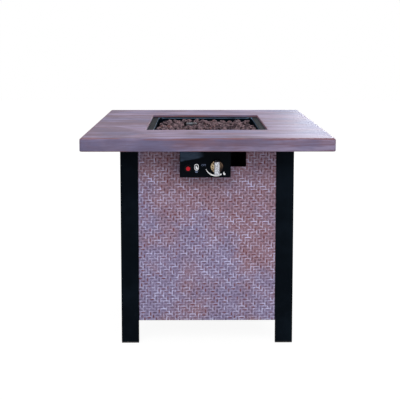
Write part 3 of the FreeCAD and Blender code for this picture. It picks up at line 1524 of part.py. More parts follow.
make_stem_collar()
make_stem_spring()
make_base_shelf()
make_tank_ring()
make_tank_screw()
make_rear_door()
make_hinge_half("hinge_leg_leaves", True)
make_hinge_half("hinge_door_leaves", False)
make_hinge_pins()
make_door_pull()
make_door_magnet()
make_catch_plate()
doc.recompute()
make_lava_rocks()
doc.recompute()

# Nothing is written unless every feature worked and every piece is a sound solid

for item in doc.Objects:
    if "Invalid" in item.State or "Error" in item.State:
        raise RuntimeError(f"{item.Label} of {item.getParentGeoFeatureGroup().Label} failed: {item.State}")
    if item.TypeId == "PartDesign::Pocket" and item.Shape.Volume > item.BaseFeature.Shape.Volume - 0.01:
        raise RuntimeError(f"{item.Label} of {item.getParentGeoFeatureGroup().Label} cuts nothing")
for name, piece in NODES:
    shape = piece.Shape
    if shape.isNull() or not shape.isValid() or not shape.Solids:
        raise RuntimeError(f"{name} is not a sound solid")
for name, piece in NODES:
    piece.Shape.exportStep(f"parts/{name}.step")
print(len(NODES), "pieces written")
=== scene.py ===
"""Looks of a square gas fire pit table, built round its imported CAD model.

The CAD nodes give every place and size. This file gives the frame its black powder coat, the panels
their woven relief, the top its faux-wood finish and the burner recess its lava rock. Lengths are in
metres unless a name says millimetres.
"""

import math

import bmesh
import bpy
import numpy as np
from bpy.props import FloatProperty, FloatVectorProperty, IntProperty, PointerProperty
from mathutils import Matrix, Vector


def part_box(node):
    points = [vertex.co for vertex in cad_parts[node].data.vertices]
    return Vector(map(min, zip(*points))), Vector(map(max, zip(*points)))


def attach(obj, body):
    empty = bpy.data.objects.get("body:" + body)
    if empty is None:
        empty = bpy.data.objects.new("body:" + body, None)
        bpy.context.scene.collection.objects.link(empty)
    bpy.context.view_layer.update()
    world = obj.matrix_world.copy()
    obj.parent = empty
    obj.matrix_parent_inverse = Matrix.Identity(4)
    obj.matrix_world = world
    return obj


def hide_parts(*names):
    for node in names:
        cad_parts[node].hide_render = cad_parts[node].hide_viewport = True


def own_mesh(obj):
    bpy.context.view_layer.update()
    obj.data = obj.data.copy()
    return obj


bl_info = {
    "name": "Gas fire pit table",
    "version": (1, 0, 0),
    "blender": (4, 5, 0),
    "location": "View3D > Sidebar > Fire table",
    "description": "Dresses the CAD model of a gas fire pit table with its finishes and fine shapes",
    "category": "Object",
}

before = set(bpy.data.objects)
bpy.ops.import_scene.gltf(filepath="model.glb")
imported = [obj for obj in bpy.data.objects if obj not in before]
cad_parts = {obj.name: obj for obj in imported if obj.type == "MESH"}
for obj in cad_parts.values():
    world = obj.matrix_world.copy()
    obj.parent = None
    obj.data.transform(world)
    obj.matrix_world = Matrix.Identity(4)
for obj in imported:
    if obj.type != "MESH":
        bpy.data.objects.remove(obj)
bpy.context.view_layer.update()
MM = 0.001

# The fitted camera: its place, its tilt down and turn in radians, its lens in millimetres and its shift.
EYE, EYE_TILT, EYE_TURN = (-0.03153, -2.19425, 0.91676), 0.0809, -0.0055
LENS, LENS_SHIFT = 60.60, -0.278

# Across and up of the knob's axis, and how far the box's print lies from the middle, in millimetres.
KNOB_AXIS = (27.0, 541.0)
PRINT_BACK, PRINT_FACE = 291.9, 292.35
# Cut-out of the front panel: its sides, then its base and top, in metres.
NOTCH = (-66 * MM, 114 * MM, 531 * MM, 578 * MM)
# Wire radius, turns and travel of the stem spring, in millimetres.
WIRE_RADIUS, COIL_TURNS, STEM_TRAVEL = 0.6, 4, 3.0
# Rocks above this height are seen, and get the fine grid, in metres.
ROCK_SIGHT_LINE = 0.592


def screen(red, green, blue):
    """Linear colour, with alpha, of an 8-bit screen colour."""
    parts = (c / 255 for c in (red, green, blue))
    return tuple(c / 12.92 if c <= 0.04045 else ((c + 0.055) / 1.055) ** 2.4 for c in parts) + (1.0,)


def solid(colour):
    """The three parts of a colour property with full alpha."""
    return (*colour, 1.0)


# Node trees


class Value:
    """An output socket of a node tree. Arithmetic on it adds Math nodes."""

    def __init__(self, finish, socket):
        self.finish = finish
        self.socket = socket

    def math(self, operation, *operands):
        """Math node of this operation on the operands, which are numbers or values."""
        return self.finish.node("ShaderNodeMath", {"operation": operation}, dict(enumerate(operands)))

    def __add__(self, other):
        return self.math("ADD", self, other)

    def __radd__(self, other):
        return self.math("ADD", other, self)

    def __sub__(self, other):
        return self.math("SUBTRACT", self, other)

    def __rsub__(self, other):
        return self.math("SUBTRACT", other, self)

    def __mul__(self, other):
        return self.math("MULTIPLY", self, other)

    def __rmul__(self, other):
        return self.math("MULTIPLY", other, self)

    def __lt__(self, other):
        return self.math("LESS_THAN", self, other)

    def __gt__(self, other):
        return self.math("GREATER_THAN", self, other)

    def floor(self):
        return self.math("FLOOR", self)

    def modulo(self, other):
        return self.math("FLOORED_MODULO", self, other)

    def distance(self, other):
        return self.math("ABSOLUTE", self - other)

    def least(self, other):
        return self.math("MINIMUM", self, other)

    def most(self, other):
        return self.math("MAXIMUM", self, other)

    def ramp(self, low, high, to_low=0.0, to_high=1.0):
        """Smooth step of the value from to_low at low to to_high at high."""
        sockets = {0: self, 1: low, 2: high, 3: to_low, 4: to_high}
        return self.finish.node("ShaderNodeMapRange", {"interpolation_type": "SMOOTHSTEP"}, sockets)


class Finish:
    """A node material with one Principled shader."""

    def __init__(self, name, roughness=0.5, metallic=0.0, specular=0.5):
        self.material = bpy.data.materials.new(name)
        self.material.use_nodes = True
        self.tree = self.material.node_tree
        self.shader = self.tree.nodes["Principled BSDF"]
        self.shader.inputs["Roughness"].default_value = roughness
        self.shader.inputs["Metallic"].default_value = metallic
        self.shader.inputs["Specular IOR Level"].default_value = specular
        self.place = self.node("ShaderNodeTexCoord", out="Object")

    def feed(self, socket, source):
        """Link a value to the socket, or set the socket to a number or colour."""
        if isinstance(source, Value):
            self.tree.links.new(source.socket, socket)
        else:
            socket.default_value = source

    def node(self, kind, settings=None, sockets=None, out=0):
        """Any node: settings first, a ramp's stops among them, then its sockets by name or number."""
        node = self.tree.nodes.new(kind)
        for key, value in (settings or {}).items():
            if key == "stops":
                elements = node.color_ramp.elements
                for index, (position, colour) in enumerate(value):
                    element = elements[index] if index < 2 else elements.new(position)
                    element.position, element.color = position, colour
            else:
                setattr(node, key, value)
        for key, source in (sockets or {}).items():
            self.feed(node.inputs[key], source)
        return Value(self, node.outputs[out])

    def parts(self, vector):
        """The three numbers of a vector."""
        split = self.node("ShaderNodeSeparateXYZ", sockets={0: vector})
        outputs = split.socket.node.outputs
        return tuple(Value(self, outputs[axis]) for axis in range(3))

    def vector(self, x, y, z):
        """A vector of three numbers or values."""
        return self.node("ShaderNodeCombineXYZ", sockets={0: x, 1: y, 2: z})

    def stretched(self, vector, scale):
        """The vector scaled along each axis."""
        return self.node("ShaderNodeMapping", sockets={"Vector": vector, "Scale": scale})

    def uv(self, layer):
        """A named UV map of the piece."""
        return self.node("ShaderNodeUVMap", {"uv_map": layer})

    def noise(self, vector, scale, detail=3.0, rough=0.5, warp=0.0):
        """Fractal noise from 0 to 1, with its mean near 0.5."""
        sockets = {"Vector": vector, "Scale": scale, "Detail": detail, "Roughness": rough, "Distortion": warp}
        return self.node("ShaderNodeTexNoise", sockets=sockets)

    def cells(self, vector, scale):
        """Cell pattern: the distance to the nearest seed."""
        return self.node("ShaderNodeTexVoronoi", sockets={"Vector": vector, "Scale": scale}, out="Distance")

    def blend(self, factor, first, second):
        """Mix of two colours."""
        settings = {"data_type": "RGBA", "clamp_factor": True}
        return self.node("ShaderNodeMix", settings, {0: factor, 6: first, 7: second}, out=2)

    def stops(self, factor, *stops):
        """Colour ramp through the stops, each a position and a colour."""
        return self.node("ShaderNodeValToRGB", {"stops": stops}, {0: factor})

    def bump(self, height, depth, strength=1.0):
        """Bump node that feeds the shader's normal; height 1 stands the depth proud."""
        sockets = {"Strength": strength, "Distance": depth, "Height": height}
        self.feed(self.shader.inputs["Normal"], self.node("ShaderNodeBump", sockets=sockets))

    def paint(self, colour, roughness=None):
        """Feed the shader's colour, and its roughness where that varies, and return the material."""
        self.feed(self.shader.inputs["Base Color"], colour)
        if roughness is not None:
            self.feed(self.shader.inputs["Roughness"], roughness)
        return self.material


# Meshes


class Form:
    """Grids of points gathered into one mesh, with one UV pair for each corner."""

    def __init__(self):
        self.points, self.corners, self.counts, self.uvs = [], [], [], []
        self.total = 0

    def grid(self, points, uv=None, close_rows=False, close_columns=False, keep=None):
        """Add the quads of a grid of points, rows by columns by 3, and give the points' numbers.

        A closed direction joins its last line to its first; keep says which quads are made."""
        rows, columns = points.shape[:2]
        index = np.arange(rows * columns).reshape(rows, columns) + self.total
        if close_rows:
            index = np.vstack([index, index[:1]])
        if close_columns:
            index = np.hstack([index, index[:, :1]])
        quads = np.stack([index[:-1, :-1], index[:-1, 1:], index[1:, 1:], index[1:, :-1]], axis=-1)
        if uv is None:
            uv = np.zeros(index.shape + (2,))
        pairs = np.stack([uv[:-1, :-1], uv[:-1, 1:], uv[1:, 1:], uv[1:, :-1]], axis=2)
        if keep is not None:
            quads, pairs = quads[keep], pairs[keep]
        quads, pairs = quads.reshape(-1, 4), pairs.reshape(-1, 4, 2)
        self.points.append(points.reshape(-1, 3))
        self.corners.append(quads.ravel())
        self.counts.append(np.full(len(quads), 4))
        self.uvs.append(pairs.reshape(-1, 2))
        self.total += rows * columns
        return index

    def face(self, index):
        """Add one polygon over points that are already there."""
        index = np.asarray(index).ravel()
        self.corners.append(index)
        self.counts.append(np.array([len(index)]))
        self.uvs.append(np.zeros((len(index), 2)))

    def fan(self, rim, tip, flip=False):
        """Close a rim of points with triangles to a new point at the tip."""
        self.points.append(np.reshape(tip, (1, 3)))
        around = np.asarray(rim).ravel()
        after = np.roll(around, -1)
        top = np.full(len(around), self.total)
        triangles = np.stack([around, after, top] if not flip else [after, around, top], axis=-1)
        self.corners.append(triangles.ravel())
        self.counts.append(np.full(len(around), 3))
        self.uvs.append(np.zeros((len(around) * 3, 2)))
        self.total += 1

    def object(self, name, material, body, sharp=None, layer="skin"):
        """Make the object, in metres, and let it ride on a body."""
        mesh = bpy.data.meshes.new(name)
        points = np.concatenate(self.points)
        corners = np.concatenate(self.corners)
        counts = np.concatenate(self.counts)
        mesh.vertices.add(len(points))
        mesh.vertices.foreach_set("co", points.astype(np.float32).ravel())
        mesh.loops.add(len(corners))
        mesh.loops.foreach_set("vertex_index", corners.astype(np.int32))
        mesh.polygons.add(len(counts))
        mesh.polygons.foreach_set("loop_start", (np.cumsum(counts) - counts).astype(np.int32))
        uv_layer = mesh.uv_layers.new(name=layer)
        uv_layer.data.foreach_set("uv", np.concatenate(self.uvs).astype(np.float32).ravel())
        mesh.update(calc_edges=True)
        mesh.validate()
        mesh.polygons.foreach_set("use_smooth", np.ones(len(mesh.polygons), bool))
        if sharp is not None:
            mesh.set_sharp_from_angle(angle=math.radians(sharp))
        mesh.materials.append(material)
        piece = bpy.data.objects.new(name, mesh)
        bpy.context.scene.collection.objects.link(piece)
        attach(piece, body)
        return piece


def give(finish, *nodes):
    """Put a finish on CAD nodes."""
    for name in nodes:
        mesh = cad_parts[name].data
        mesh.materials.clear()
        mesh.materials.append(finish)


# Finishes


def faux_wood(settings):
    """Printed and dry-brushed wood look: streaks along the grain, slate smudges and redder worn edges, with
    painted shade that turns the left side darker and bluer.
    """
    finish = Finish("faux_wood", roughness=0.5, specular=0.07)
    grain = finish.uv("grain")
    side, _, height = finish.parts(finish.place)
    along = finish.stretched(grain, (3.0, 46.0, 1.0))
    fine = finish.stretched(grain, (14.0, 380.0, 1.0))
    drift = finish.noise(finish.stretched(grain, (4.4, 10.0, 1.0)), 1.0, 4.0, 0.6, 0.5)
    streak = finish.noise(along, 1.0, 5.0, 0.65, 0.4)
    hair = finish.noise(fine, 1.0, 3.0, 0.6, 0.2)
    warm = finish.blend(streak.ramp(0.40, 0.60), solid(settings.warm_colour), solid(settings.pale_colour))
    on_top = height.ramp(0.6290, 0.6299)
    # Painted shade: the side terms make the lips bluer towards the left (-X); the drift noise in them is real
    # smudging.
    slate_and_left_shade = (drift + on_top * (side * 0.22 - 0.01) - side * 0.16).ramp(0.42, 0.66)
    slate = finish.blend(slate_and_left_shade * 0.85, warm, solid(settings.slate_colour))
    # Painted shade: the side term thickens the dark brown clouds towards the left; the noise is real
    # smudging.
    smudge = finish.noise(finish.stretched(finish.place, (1.0, 1.7, 1.0)), 5.5, 4.0, 0.6, 0.4) - side * 0.24
    clouds = smudge.ramp(0.47, 0.66) * (0.25 + on_top * 0.37)
    slate = finish.blend(clouds, slate, solid(settings.brown_colour))
    lined = finish.blend(hair.ramp(0.50, 0.70) * 0.45, slate, solid(settings.line_colour))
    wear = finish.node("ShaderNodeAttribute", {"attribute_name": "wear"}, out="Fac")
    rub = (wear * finish.noise(along, 2.0, 3.0).ramp(0.30, 0.64)).ramp(0.30, 0.95)
    colour = finish.blend(rub * 0.7, lined, solid(settings.edge_colour))
    finish.bump(hair * 0.6 + streak * 0.4, 0.0006, 0.25)
    return finish.paint(colour, roughness=0.44 + streak * 0.16)


def weave_pattern(finish, strands):
    """Twill of strands, for a UV in strand widths.

    Gives each place's distance to its float's edge, whether the float is level, how far up and across
    it lies, the float's own random tone, and the distance along the float from its middle."""
    across, up, _ = finish.parts(strands)
    column, row = across.floor(), up.floor()
    phase = (column + row).modulo(4.0)
    level = phase < 1.5
    side, rise = across - column, up - row
    second = (phase.modulo(2.0)) > 0.5
    run = level * side + (1.0 - level) * rise + second
    cross = level * rise + (1.0 - level) * side
    edge = (0.5 - cross.distance(0.5)).least(1.0 - run.distance(1.0))
    upper = level * rise + (1.0 - level) * (run * 0.5)
    tone = finish.node("ShaderNodeTexWhiteNoise", {"noise_dimensions": "3D"}, {"Vector": finish.vector(
        column - second * level, row - second * (1.0 - level), level)}, out="Value")
    return edge, level, upper, side, tone, run.distance(1.0)


def woven_finish(settings):
    """Pressed weave: mauve strands with dark or red cores and light dry-brushed rims, clouded with slate;
    painted light makes the lower left paler and bluer and the upper and left rims brighter.
    """
    finish = Finish("woven_finish", roughness=0.62, specular=0.12)
    edge, level, upper, side, tone, along = weave_pattern(finish, finish.uv("strands"))
    place_x, _, place_z = finish.parts(finish.place)
    # Painted light: the place terms make the strands paler and bluer towards the lower left and mauver
    # towards the top; the noise is real clouding.
    clouding_and_light = finish.noise(finish.place, 6.0, 4.0, 0.6) - place_x * 0.24 - (place_z - 0.33) * 0.22
    patch = finish.noise(finish.place, 17.0, 3.0, 0.55)
    speck = finish.noise(finish.place, 300.0, 2.0, 0.6)
    base = finish.blend(clouding_and_light.ramp(0.40, 0.62), solid(settings.core_colour), solid(settings.slate_colour))
    deep = finish.blend(tone.ramp(0.45, 0.85), solid(settings.groove_colour), solid(settings.red_colour))
    heart = edge.ramp(0.16, 0.38) * along.ramp(0.80, 0.35) * (0.45 + 0.55 * tone.ramp(0.20, 0.80))
    heart = heart * patch.ramp(0.64, 0.38, 0.40, 1.0)
    shaded = finish.blend(heart, base, deep)
    # Painted highlight: rims are brightest on the upper side of level floats and the left side of upright
    # floats; the dry brush under it is real paint.
    painted_highlight = 0.35 + 0.65 * (level * upper.ramp(0.45, 0.75) + (1.0 - level) * (1.0 - side).ramp(0.50, 0.80))
    patchy_rim = finish.noise(finish.place, 75.0, 3.0, 0.7).ramp(0.40, 0.58, 0.10, 1.0)
    own = (tone * 7.31).modulo(1.0)
    rim = edge.ramp(0.26, 0.10) * painted_highlight * patch.ramp(0.32, 0.62, 0.45, 1.0) * patchy_rim
    rim = rim * own.ramp(0.15, 0.85, 0.45, 1.05)
    colour = finish.blend(rim, shaded, solid(settings.brush_colour))
    colour = finish.blend(speck.ramp(0.52, 0.72) * 0.22, colour, solid(settings.brush_colour))
    finish.bump(speck * 0.5, 0.0004, 0.5)
    return finish.paint(colour, roughness=0.52 + speck * 0.18)


def coated(name, base, sheen=0.5, specular=0.12, pebble=900.0):
    """Powder coat: fine pebbled gloss, dust-grey in patches."""
    finish = Finish(name, roughness=sheen, specular=specular)
    orange = finish.noise(finish.place, pebble, 2.0, 0.5)
    patch = finish.noise(finish.place, 9.0, 4.0, 0.6)
    lift = tuple(c * 1.9 + 0.0012 for c in base[:3]) + (1.0,)
    colour = finish.blend(patch.ramp(0.40, 0.70), base, lift)
    finish.bump(orange, 0.0002, 0.35)
    return finish.paint(colour, roughness=(sheen - 0.06) + patch * 0.14)


def plain_metal(name, base, roughness, tint=None, brushed=(1.0, 1.0, 1.0), lines=0.15):
    """Bare metal: brushed lines, smudges in the gloss and a heat or handling tint."""
    finish = Finish(name, roughness=roughness, metallic=1.0)
    scratch = finish.noise(finish.stretched(finish.place, brushed), 300.0, 3.0, 0.6)
    smudge = finish.noise(finish.place, 40.0, 3.0, 0.55)
    colour = finish.blend(smudge.ramp(0.42, 0.68), base, tint or tuple(c * 0.82 for c in base[:3]) + (1.0,))
    finish.bump(scratch, 0.0002, lines)
    return finish.paint(colour, roughness=(roughness - 0.05) + smudge * 0.12)


def moulded(name, base, roughness=0.45, specular=0.4):
    """Moulded plastic: faint grain and handling marks."""
    finish = Finish(name, roughness=roughness, specular=specular)
    grain = finish.noise(finish.place, 1500.0, 2.0)
    wear = finish.noise(finish.place, 60.0, 3.0)
    lift = tuple(min(1.0, c * 1.25 + 0.004) for c in base[:3]) + (1.0,)
    finish.bump(grain, 0.0001, 0.3)
    colour = finish.blend(wear.ramp(0.45, 0.7), base, lift)
    return finish.paint(colour, roughness=(roughness - 0.05) + wear * 0.1)


def lava(settings):
    """Porous lava: dark pits, dusty brown crowns and a few rusty patches, with painted shade that darkens the
    rocks lower in the bed.
    """
    finish = Finish("lava", roughness=0.9, specular=0.2)
    pits = finish.cells(finish.place, 330.0)
    foam = finish.cells(finish.place, 900.0)
    dust = finish.noise(finish.place, 120.0, 4.0, 0.6)
    patch = finish.noise(finish.place, 28.0, 3.0, 0.5)
    stone = finish.blend(dust.ramp(0.40, 0.62), solid(settings.dark_colour), solid(settings.dust_colour))
    stone = finish.blend(patch.ramp(0.56, 0.70) * 0.45, stone, solid(settings.rust_colour))
    _, _, height = finish.parts(finish.place)
    # Painted shade: the rocks darken towards the bottom of the bed, as the gaps between them would be shaded.
    stone = finish.blend(height.ramp(0.618, 0.602) * 0.85, stone, screen(20, 17, 24))
    colour = finish.blend(pits.ramp(0.30, 0.12), stone, screen(26, 22, 30))
    finish.bump(pits.ramp(0.05, 0.45) * 0.7 + foam * 0.3, 0.0022, 0.9)
    return finish.paint(colour, roughness=0.82 + dust * 0.15)


# Properties


def colour_property(name, text, red, green, blue):
    """Colour property whose default is given as a screen colour."""
    return FloatVectorProperty(name=name, description=text, subtype="COLOR", size=3, min=0, max=1,
                               default=screen(red, green, blue)[:3])


def strength_property(name, text, strength, **units):
    """Number property from 0 upwards."""
    return FloatProperty(name=name, description=text, default=strength, min=0, **units)


def length_property(name, text, metres):
    """Length property with its default in metres."""
    return FloatProperty(name=name, description=text, default=metres, min=0.0, unit="LENGTH", precision=4)


class FireTableStage(bpy.types.PropertyGroup):
    floor_side: length_property("Floor side", "Side of the square floor", 14.0)
    sky: strength_property("Overhead light", "Strength of the sky overhead", 1.10)
    horizon: strength_property("Horizon light", "Strength of the sky at the horizon", 0.05)
    key_power: strength_property("Key lamp", "Power of the front lamp", 44.0, unit="POWER")
    sheen_power: strength_property("Sheen lamp", "Power of the lamp behind the right", 64.0, unit="POWER")


class FireTableTop(bpy.types.PropertyGroup):
    warm_colour: colour_property("Warm grain", "Brown of the faux wood", 122, 98, 114)
    pale_colour: colour_property("Pale grain", "Dry-brushed light streaks", 146, 134, 162)
    slate_colour: colour_property("Slate smudge", "Grey-blue smudges", 106, 104, 136)
    brown_colour: colour_property("Brown smudge", "Wide brown clouds over the grain", 96, 78, 92)
    line_colour: colour_property("Grain line", "Thin dark lines along the grain", 86, 66, 82)
    edge_colour: colour_property("Worn edge", "Redder worn edges", 124, 80, 78)


class FireTableWeave(bpy.types.PropertyGroup):
    pitch_across: length_property("Strand width", "Pitch of the upright strands", 0.0086)
    pitch_up: length_property("Strand height", "Pitch of the level strands", 0.0080)
    relief: length_property("Relief", "Height of the strands over the grooves", 0.0012)
    core_colour: colour_property("Strand", "Mauve of the strands", 146, 112, 124)
    red_colour: colour_property("Red core", "Redder hearts of the strands", 110, 66, 70)
    slate_colour: colour_property("Clouded strand", "Grey-blue clouding", 136, 124, 156)
    groove_colour: colour_property("Dark core", "Dark hearts of the strands", 70, 56, 74)
    brush_colour: colour_property("Dry brush", "Lavender-grey on the rims", 214, 214, 250)


class FireTableRocks(bpy.types.PropertyGroup):
    seed: IntProperty(name="Seed", description="Number that the rocks' shapes follow", default=5, min=0)
    steps: IntProperty(name="Steps", description="Grid steps along each of a rock's six patches",
                       default=12, min=4, max=20)
    dark_colour: colour_property("Dark stone", "Shaded lava", 62, 49, 57)
    dust_colour: colour_property("Dusty stone", "Dusty crowns", 136, 112, 118)
    rust_colour: colour_property("Rusty stone", "Rusty patches", 136, 92, 84)


# Stage


def aim(piece, place, target):
    """Put a lamp at a place so that it shines at the target."""
    direction = Vector(target) - Vector(place)
    piece.location = place
    piece.rotation_euler = direction.to_track_quat("-Z", "Y").to_euler()


def add_lamp(name, place, target, size, power, colour=(1.0, 1.0, 1.0)):
    """Square soft lamp that the camera doesn't see."""
    light = bpy.data.lights.new(name, "AREA")
    light.shape = "RECTANGLE"
    light.size, light.size_y = size
    light.energy = power
    light.color = colour
    lamp = bpy.data.objects.new(name, light)
    bpy.context.scene.collection.objects.link(lamp)
    lamp.visible_camera = False
    aim(lamp, place, target)
    return lamp


def fill_sky(settings):
    """Sky that is bright overhead and dim at the horizon; the camera, metal and glass see plain white."""
    world = bpy.data.worlds.new("studio")
    bpy.context.scene.world = world
    world.use_nodes = True
    nodes, links = world.node_tree.nodes, world.node_tree.links
    place = nodes.new("ShaderNodeTexCoord")
    split = nodes.new("ShaderNodeSeparateXYZ")
    links.new(place.outputs["Generated"], split.inputs[0])
    height = nodes.new("ShaderNodeMapRange")
    links.new(split.outputs[2], height.inputs[0])
    for number, value in ((1, 0.0), (2, 0.85), (3, settings.horizon), (4, settings.sky)):
        height.inputs[number].default_value = value
    soft = nodes["Background"]
    links.new(height.outputs[0], soft.inputs["Strength"])
    soft.inputs["Color"].default_value = (1, 1, 1, 1)
    white = nodes.new("ShaderNodeBackground")
    white.inputs["Color"].default_value = (1, 1, 1, 1)
    white.inputs["Strength"].default_value = 1.0
    path = nodes.new("ShaderNodeLightPath")
    seen = path.outputs["Is Camera Ray"]
    for name in ("Is Glossy Ray", "Is Transmission Ray"):
        either = nodes.new("ShaderNodeMath")
        either.operation = "MAXIMUM"
        links.new(seen, either.inputs[0])
        links.new(path.outputs[name], either.inputs[1])
        seen = either.outputs[0]
    mix = nodes.new("ShaderNodeMixShader")
    links.new(seen, mix.inputs[0])
    links.new(soft.outputs[0], mix.inputs[1])
    links.new(white.outputs[0], mix.inputs[2])
    links.new(mix.outputs[0], nodes["World Output"].inputs["Surface"])


def floor_finish():
    """Pale floor that the camera sees as white, with a faint shadow under the table."""
    finish = Finish("studio_floor", roughness=0.9, specular=0.0)
    grain = finish.noise(finish.place, 3.0, 2.0)
    finish.paint(finish.blend(grain, (0.50, 0.50, 0.50, 1), (0.52, 0.52, 0.52, 1)))
    glow = finish.node("ShaderNodeEmission", sockets={"Color": (1, 1, 1, 1), "Strength": 1.0})
    path = finish.node("ShaderNodeLightPath", out="Is Camera Ray")
    for name in ("Is Glossy Ray", "Is Transmission Ray"):
        path = path.most(finish.node("ShaderNodeLightPath", out=name))
    shader = Value(finish, finish.shader.outputs[0])
    mixed = finish.node("ShaderNodeMixShader", sockets={0: path * 0.80, 1: shader, 2: glow})
    plus = finish.node("ShaderNodeAddShader", sockets={0: mixed, 1: finish.node(
        "ShaderNodeEmission", sockets={"Color": (1, 1, 1, 1), "Strength": path * 0.13})})
    finish.tree.links.new(plus.socket, finish.tree.nodes["Material Output"].inputs["Surface"])
    return finish.material


def add_floor(settings):
    """Square floor at height 0."""
    half = settings.floor_side / 2
    x, y = np.meshgrid(np.linspace(-half, half, 3), np.linspace(-half, half, 3))
    form = Form()
    form.grid(np.stack([x, y, np.zeros_like(x)], axis=-1))
    mesh = bpy.data.meshes.new("floor")
    quads = np.concatenate(form.corners).reshape(-1, 4)
    mesh.from_pydata(np.concatenate(form.points).tolist(), [], quads.tolist())
    mesh.materials.append(floor_finish())
    floor = bpy.data.objects.new("floor", mesh)
    bpy.context.scene.collection.objects.link(floor)


def add_camera():
    """Camera in front, tilted 4.6 degrees down, with the lens shift that the photograph's framing needs."""
    camera = bpy.data.cameras.new("camera")
    camera.sensor_width = 36.0
    camera.lens, camera.shift_y = LENS, LENS_SHIFT
    camera.clip_start, camera.clip_end = 0.05, 60.0
    eye = bpy.data.objects.new("camera", camera)
    eye.location = EYE
    eye.rotation_euler = (math.pi / 2 - EYE_TILT, 0.0, EYE_TURN)
    bpy.context.scene.collection.objects.link(eye)
    bpy.context.scene.camera = eye


class FIRETABLE_OT_stage(bpy.types.Operator):
    """Set up the pale floor, the soft light and the camera"""

    bl_idname = "firetable.stage"
    bl_label = "Stage"

    def execute(self, context):
        settings = context.scene.fire_table_stage
        view = context.scene.view_settings
        view.view_transform = "Standard"
        fill_sky(settings)
        add_floor(settings)
        add_lamp("key_lamp", (-1.0, -2.4, 2.7), (0, 0, 0.4), (2.4, 2.0), settings.key_power)
        add_lamp("fill_lamp", (2.2, -2.4, 1.6), (0, 0, 0.4), (1.8, 1.8), settings.key_power * 0.45)
        add_lamp("sheen_lamp", (1.42, 2.5, 1.1), (0.2, 0, 0.62), (1.6, 1.0), settings.sheen_power,
                 (0.84, 0.90, 1.0))
        add_camera()
        return {"FINISHED"}


# Tabletop


def rounded_rectangle(half_across, half_up, corner, arc_steps, side_steps):
    """Closed loop round a rectangle, anticlockwise from the lower end of its right upper corner.

    Each corner is a quarter circle of the corner radius and each side a straight run of even steps."""
    flat = np.array([half_across - corner, half_up - corner])
    angle = np.linspace(0, math.pi / 2, arc_steps + 1)
    loop = []
    for turn, signs in enumerate(((1, 1), (-1, 1), (-1, -1), (1, -1))):
        around = angle + turn * math.pi / 2
        loop.append(flat * signs + corner * np.stack([np.cos(around), np.sin(around)], axis=-1))
    runs = []
    for start, end in zip(loop, loop[1:] + loop[:1]):
        share = np.linspace(0, 1, side_steps + 1)[1:-1, None]
        runs.append(start[-1] * (1 - share) + end[0] * share)
    return np.concatenate([part for pair in zip(loop, runs) for part in pair])


def edge_profile():
    """Section of the folded top, from the return flange round the lip to the burner ledge and back.

    Each entry is half side, corner radius, height and wear; arcs are quarter circles of the edge radii."""
    def arc(middle, height, radius, start, end, steps):
        angle = np.radians(np.linspace(start, end, steps))
        return [(middle + radius * math.cos(a), height + radius * math.sin(a)) for a in angle]

    outer, high, low = 355.5, 630.0, 593.0
    upper, lower, mouth = 5.8, 2.6, 1.6
    outside = [(343.5, low)] + arc(outer - lower, low + lower, lower, -90, 0, 6)
    outside += arc(outer - upper, high - upper, upper, 0, 90, 9)
    recess = [(347.0, high), (190.0, high)] + arc(184.0 + mouth, high - mouth, mouth, 90, 180, 5)
    recess += [(184.0, 622.0), (168.0, 622.0), (168.0, 620.5)]
    inside = [(185.5, 620.5), (185.5, 628.5), (353.9, 628.5), (353.9, 594.5), (343.5, 594.5)]
    rows = []
    for half, height in outside + recess + inside:
        corner = max(1.5, 9.5 - (outer - half)) if half > 340 else 2.5
        at_edge = half > 349.0 and (height > high - upper or height < low + lower)
        at_mouth = 183.0 < half < 187.0 and 621.0 < height
        rows.append((half, corner, height, 1.0 if at_edge or at_mouth else 0.0))
    return np.array(rows)


def tabletop_shell():
    """Skin of the folded top: the edge profile carried round the square, with the grain along X."""
    rows = edge_profile()
    loops = [rounded_rectangle(half, half, corner, 7, 24) for half, corner, _, _ in rows]
    points = np.stack([np.column_stack([loop, np.full(len(loop), row[2])]) for loop, row in zip(loops, rows)])
    form = Form()
    form.grid(points * MM, close_rows=True, close_columns=True)
    wear = np.repeat(rows[:, 3], points.shape[1])
    return form, wear


def grain_uvs(mesh):
    """UV in metres for each corner: along the grain, then across it; the side lips run their own way."""
    corners = np.zeros(len(mesh.loops), np.int32)
    mesh.loops.foreach_get("vertex_index", corners)
    points = np.zeros(len(mesh.vertices) * 3, np.float32)
    mesh.vertices.foreach_get("co", points)
    points = points.reshape(-1, 3)[corners]
    normals = np.zeros(len(mesh.polygons) * 3, np.float32)
    mesh.polygons.foreach_get("normal", normals)
    totals = np.zeros(len(mesh.polygons), np.int32)
    mesh.polygons.foreach_get("loop_total", totals)
    facing = np.abs(np.repeat(normals.reshape(-1, 3), totals, axis=0))
    x, y, z = points.T
    uv = np.stack([x, y], axis=-1)
    front = (facing[:, 1] > facing[:, 0]) & (facing[:, 1] > 0.7)
    side = (facing[:, 0] >= facing[:, 1]) & (facing[:, 0] > 0.7)
    uv[front] = np.stack([x + 3.1, z + 5.0], axis=-1)[front]
    uv[side] = np.stack([y + 7.7, z + 9.0], axis=-1)[side]
    layer = mesh.uv_layers.new(name="grain")
    layer.data.foreach_set("uv", uv.astype(np.float32).ravel())


class FIRETABLE_OT_tabletop(bpy.types.Operator):
    """Dress the folded steel top in its faux-wood finish"""

    bl_idname = "firetable.tabletop"
    bl_label = "Tabletop"

    def execute(self, context):
        form, wear = tabletop_shell()
        piece = form.object("tabletop_shell", faux_wood(context.scene.fire_table_top), "table", sharp=40)
        grain_uvs(piece.data)
        attribute = piece.data.attributes.new("wear", "FLOAT", "POINT")
        attribute.data.foreach_set("value", wear.astype(np.float32))
        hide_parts("tabletop")
        return {"FINISHED"}


# Woven panels


